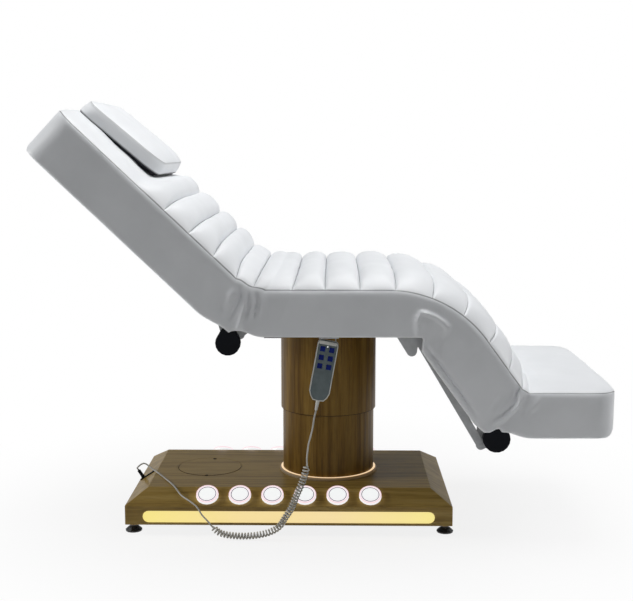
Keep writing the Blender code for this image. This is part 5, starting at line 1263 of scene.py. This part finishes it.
# %% Lamp rings
SLOPE_OUT, SLOPE_UP = 0.548, 0.836
LAMP_FIRST, LAMP_SPACING, LAMP_ABOVE = (-0.333, -0.2325, 0.1107), 0.090, 0.0018
LAMPS_IN_ROW = 6
MARK_RADIUS, MARK_WIRE = 0.0238, 0.0009
RIM_RADIUS, RIM_WIRE = 0.0288, 0.0017
lamp_turn = (math.asin(SLOPE_OUT), 0.0, 0.0)
lamp_place = (
    LAMP_FIRST[0], LAMP_FIRST[1] - SLOPE_OUT * LAMP_ABOVE, LAMP_FIRST[2] + SLOPE_UP * LAMP_ABOVE,
)
ring_at(lamp_place, MARK_RADIUS, MARK_WIRE, 48, 8, lamp_turn)
lamp_ring = settle("lamp_ring_front_1", lamp_mark)
ring_at(lamp_place, RIM_RADIUS, RIM_WIRE, 48, 10, lamp_turn)
lamp_rim = settle("lamp_rim_front_1", lamp_edge)
for row, mirrored in (("front", False), ("rear", True)):
    for number in range(0 if mirrored else 1, LAMPS_IN_ROW):
        step = (LAMP_SPACING * number, 0.0, 0.0)
        copied(lamp_ring, f"lamp_ring_{row}_{number + 1}", step, mirrored)
        copied(lamp_rim, f"lamp_rim_{row}_{number + 1}", step, mirrored)
print("lamp rings and rims:", 4 * LAMPS_IN_ROW)

# %% The service cover's gap and notches
# The gap ring and the notch discs are dark pieces of painted shade, where the recesses lie in shadow.
COVER_MIDDLE, COVER_RADIUS, PLINTH_TOP = (-0.351, 0.006), 0.0925, 0.1214
ring_at((*COVER_MIDDLE, PLINTH_TOP - 0.0004), COVER_RADIUS, 0.0010, 72, 6)
cover_gap_shade = settle("service_cover_gap", gap_dark)
for vert in cover_gap_shade.data.vertices:  # the far side of the gap is hardly seen, so it lies deeper
    vert.co.z -= 0.0009 * soft_step(vert.co.y - COVER_MIDDLE[1], -0.02, 0.05)
bpy.ops.mesh.primitive_cylinder_add(
    vertices=24, radius=0.0050, depth=0.0016,
    location=(COVER_MIDDLE[0], COVER_MIDDLE[1] - COVER_RADIUS + 0.001, PLINTH_TOP - 0.0002),
)
notch = settle("service_cover_notch_1", gap_dark)
copied(notch, "service_cover_notch_2", (0.006, 2 * COVER_RADIUS - 0.008, 0.0))
print("service cover: a gap and two notches")

# %% The gap below the upper sleeve
# A dark ring of painted shade where the upper sleeve's lower edge casts its shadow on the lower sleeve.
sleeve = [vert.co for vert in nodes["upper_sleeve"].data.vertices]
sleeve_low, sleeve_wide = min(co.z for co in sleeve), max(co.x for co in sleeve)
ring_at((0.0, 0.0, sleeve_low - 0.0006), sleeve_wide - 0.0022, 0.0013, 96, 8)
settle("sleeve_lip", gap_dark, "carriage")
print("sleeve lip at", round(sleeve_low, 4))

# %% The handset's rim and cap of painted highlight, and its indicator
HANDSET_EDGE = (
    (-0.0486, 0.4270), (-0.0460, 0.4140), (-0.0402, 0.4031), (-0.0270, 0.3988), (-0.0115, 0.3979),
    (-0.0020, 0.4060), (0.0046, 0.4172), (0.0273, 0.5431), (0.0264, 0.5489), (0.0223, 0.5532),
    (-0.0149, 0.5604), (-0.0208, 0.5596), (-0.0254, 0.5558), (-0.0266, 0.5510),
)
HANDSET_FACE, HANDSET_LEAN = -0.3438, math.radians(10.14)
HANDSET_HIGHLIGHT_WIDTH, HANDSET_HIGHLIGHT_DEPTH = 0.0024, 0.0010
# The rim is a light band of painted highlight round the handset's face, where its side walls catch the
# light.
bpy.ops.mesh.primitive_circle_add(vertices=len(HANDSET_EDGE), fill_type="NGON")
for vert, (x, z) in zip(bpy.context.object.data.vertices, HANDSET_EDGE):
    vert.co = (x, HANDSET_FACE, z)
bpy.ops.object.mode_set(mode="EDIT")
bpy.ops.mesh.select_all(action="SELECT")
bpy.ops.mesh.inset(thickness=HANDSET_HIGHLIGHT_WIDTH, depth=0.0)
bpy.ops.mesh.delete(type="FACE")
bpy.ops.mesh.select_all(action="SELECT")
bpy.ops.mesh.extrude_region_move(TRANSFORM_OT_translate={"value": (0.0, -HANDSET_HIGHLIGHT_DEPTH, 0.0)})
bpy.ops.mesh.select_all(action="SELECT")
bpy.ops.mesh.normals_make_consistent(inside=False)
bpy.ops.object.mode_set(mode="OBJECT")
settle("handset_rim", handset_trim, "carriage")
# The cap is painted highlight on the handset's top edge, lit from above.
bpy.ops.mesh.primitive_cube_add(
    size=1.0, location=(0.0010, HANDSET_FACE - 0.0005, 0.5526), rotation=(0.0, HANDSET_LEAN, 0.0),
    scale=(0.0452, 0.0016, 0.0090),
)
bpy.ops.object.transform_apply(location=False, rotation=False, scale=True)
bpy.ops.object.mode_set(mode="EDIT")
bpy.ops.mesh.select_all(action="SELECT")
bpy.ops.mesh.bevel(offset=0.0007, segments=2)
bpy.ops.object.mode_set(mode="OBJECT")
settle("handset_cap", handset_trim, "carriage")
bpy.ops.mesh.primitive_cylinder_add(
    vertices=20, radius=0.0017, depth=0.0014, location=(-0.0003, HANDSET_FACE - 0.0004, 0.5433),
    rotation=(math.pi / 2, 0.0, 0.0),
)
settle("handset_indicator", white_light, "carriage")
print("handset: rim, cap and indicator")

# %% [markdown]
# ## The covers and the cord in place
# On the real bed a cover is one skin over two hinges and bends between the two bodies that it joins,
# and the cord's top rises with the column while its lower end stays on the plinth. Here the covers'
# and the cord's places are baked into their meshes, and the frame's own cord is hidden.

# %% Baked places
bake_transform(back_cover)
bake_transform(seat_cover)
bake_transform(leg_cover)
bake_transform(cord)
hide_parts("cord_lead", "cord_curls", "cord_tail")

# %% [markdown]
# ## Floor, light and background
# A plain pale floor catches the bed's soft shadow. For the camera, the floor turns to plain white a
# little way off, and so does the world, which gives the photograph's white ground without any light
# of its own on the bed. A wide soft lamp above, a weak fill at each end and a faint even world light
# do the lighting.

# %% Floor
def combined(tree, operation, first, second):
    made = node(tree, "ShaderNodeMath", operation=operation)
    join(tree, (first, made.inputs[0]), (second, made.inputs[1]))
    return made.outputs[0]


def mixed_out(tree, share, first, second, out_kind):
    """Ends a shader with the first look where share is 0 and the second where it is 1."""
    mixed = node(tree, "ShaderNodeMixShader")
    out = node(tree, out_kind)
    join(
        tree, (share, mixed.inputs["Fac"]), (first.outputs[0], mixed.inputs[1]),
        (second.outputs[0], mixed.inputs[2]), (mixed.outputs[0], out.inputs["Surface"]),
    )


work = bmesh.new()
bmesh.ops.create_grid(work, x_segments=1, y_segments=1, size=30.0)
floor = object_from(work, "studio_floor")
floor_finish, tree = shader("studio_floor")
matt = node(tree, "ShaderNodeBsdfDiffuse", Color=(0.76, 0.76, 0.76, 1.0))
lit = node(tree, "ShaderNodeEmission", Color=(1.0, 1.0, 1.0, 1.0), Strength=1.0)
where = node(tree, "ShaderNodeTexCoord")
middle = node(tree, "ShaderNodeVectorMath", operation="LENGTH")
join(tree, (where.outputs["Object"], middle.inputs[0]))
fade = ranged(tree, middle.outputs["Value"], 0.84, 1.0, 0.30, 1.35, "SMOOTHSTEP")
rays = node(tree, "ShaderNodeLightPath").outputs
seen = combined(tree, "MAXIMUM", rays["Is Camera Ray"], rays["Is Glossy Ray"])
seen = combined(tree, "MAXIMUM", seen, rays["Is Transmission Ray"])
mixed_out(tree, combined(tree, "MULTIPLY", fade, seen), matt, lit, "ShaderNodeOutputMaterial")
floor.data.materials.append(floor_finish)

# %% World and lamps
world = bpy.data.worlds.new("studio")
bpy.context.scene.world = world
world.use_nodes = True
tree = world.node_tree
tree.nodes.clear()
white = node(tree, "ShaderNodeBackground", Color=(1.0, 1.0, 1.0, 1.0), Strength=1.0)
even = node(tree, "ShaderNodeBackground", Color=(0.95, 0.98, 1.0, 1.0))
rays = node(tree, "ShaderNodeLightPath").outputs
join(tree, (ranged(tree, rays["Is Glossy Ray"], 0.070, 0.36), even.inputs["Strength"]))
seen = combined(tree, "MAXIMUM", rays["Is Camera Ray"], rays["Is Transmission Ray"])
mixed_out(tree, seen, even, white, "ShaderNodeOutputWorld")


def soft_lamp(name, place, target, size, power):
    data = bpy.data.lights.new(name, "AREA")
    data.shape = "RECTANGLE"
    data.size, data.size_y = size
    data.energy = power
    lamp = new_object(name, data)
    lamp.location = place
    lamp.rotation_euler = (Vector(target) - Vector(place)).to_track_quat("-Z", "Y").to_euler()


soft_lamp("overhead_softbox", (0.40, 0.08, 3.3), (0.0, 0.0, 0.6), (2.6, 1.8), 81.0)
soft_lamp("head_side_fill", (-3.0, -0.40, 1.7), (-0.3, -0.2, 0.8), (0.8, 0.8), 36.0)
soft_lamp("foot_side_fill", (2.9, 0.25, 1.25), (0.2, 0.0, 0.4), (0.8, 0.8), 18.0)

bpy.context.scene.view_settings.view_transform = "Standard"
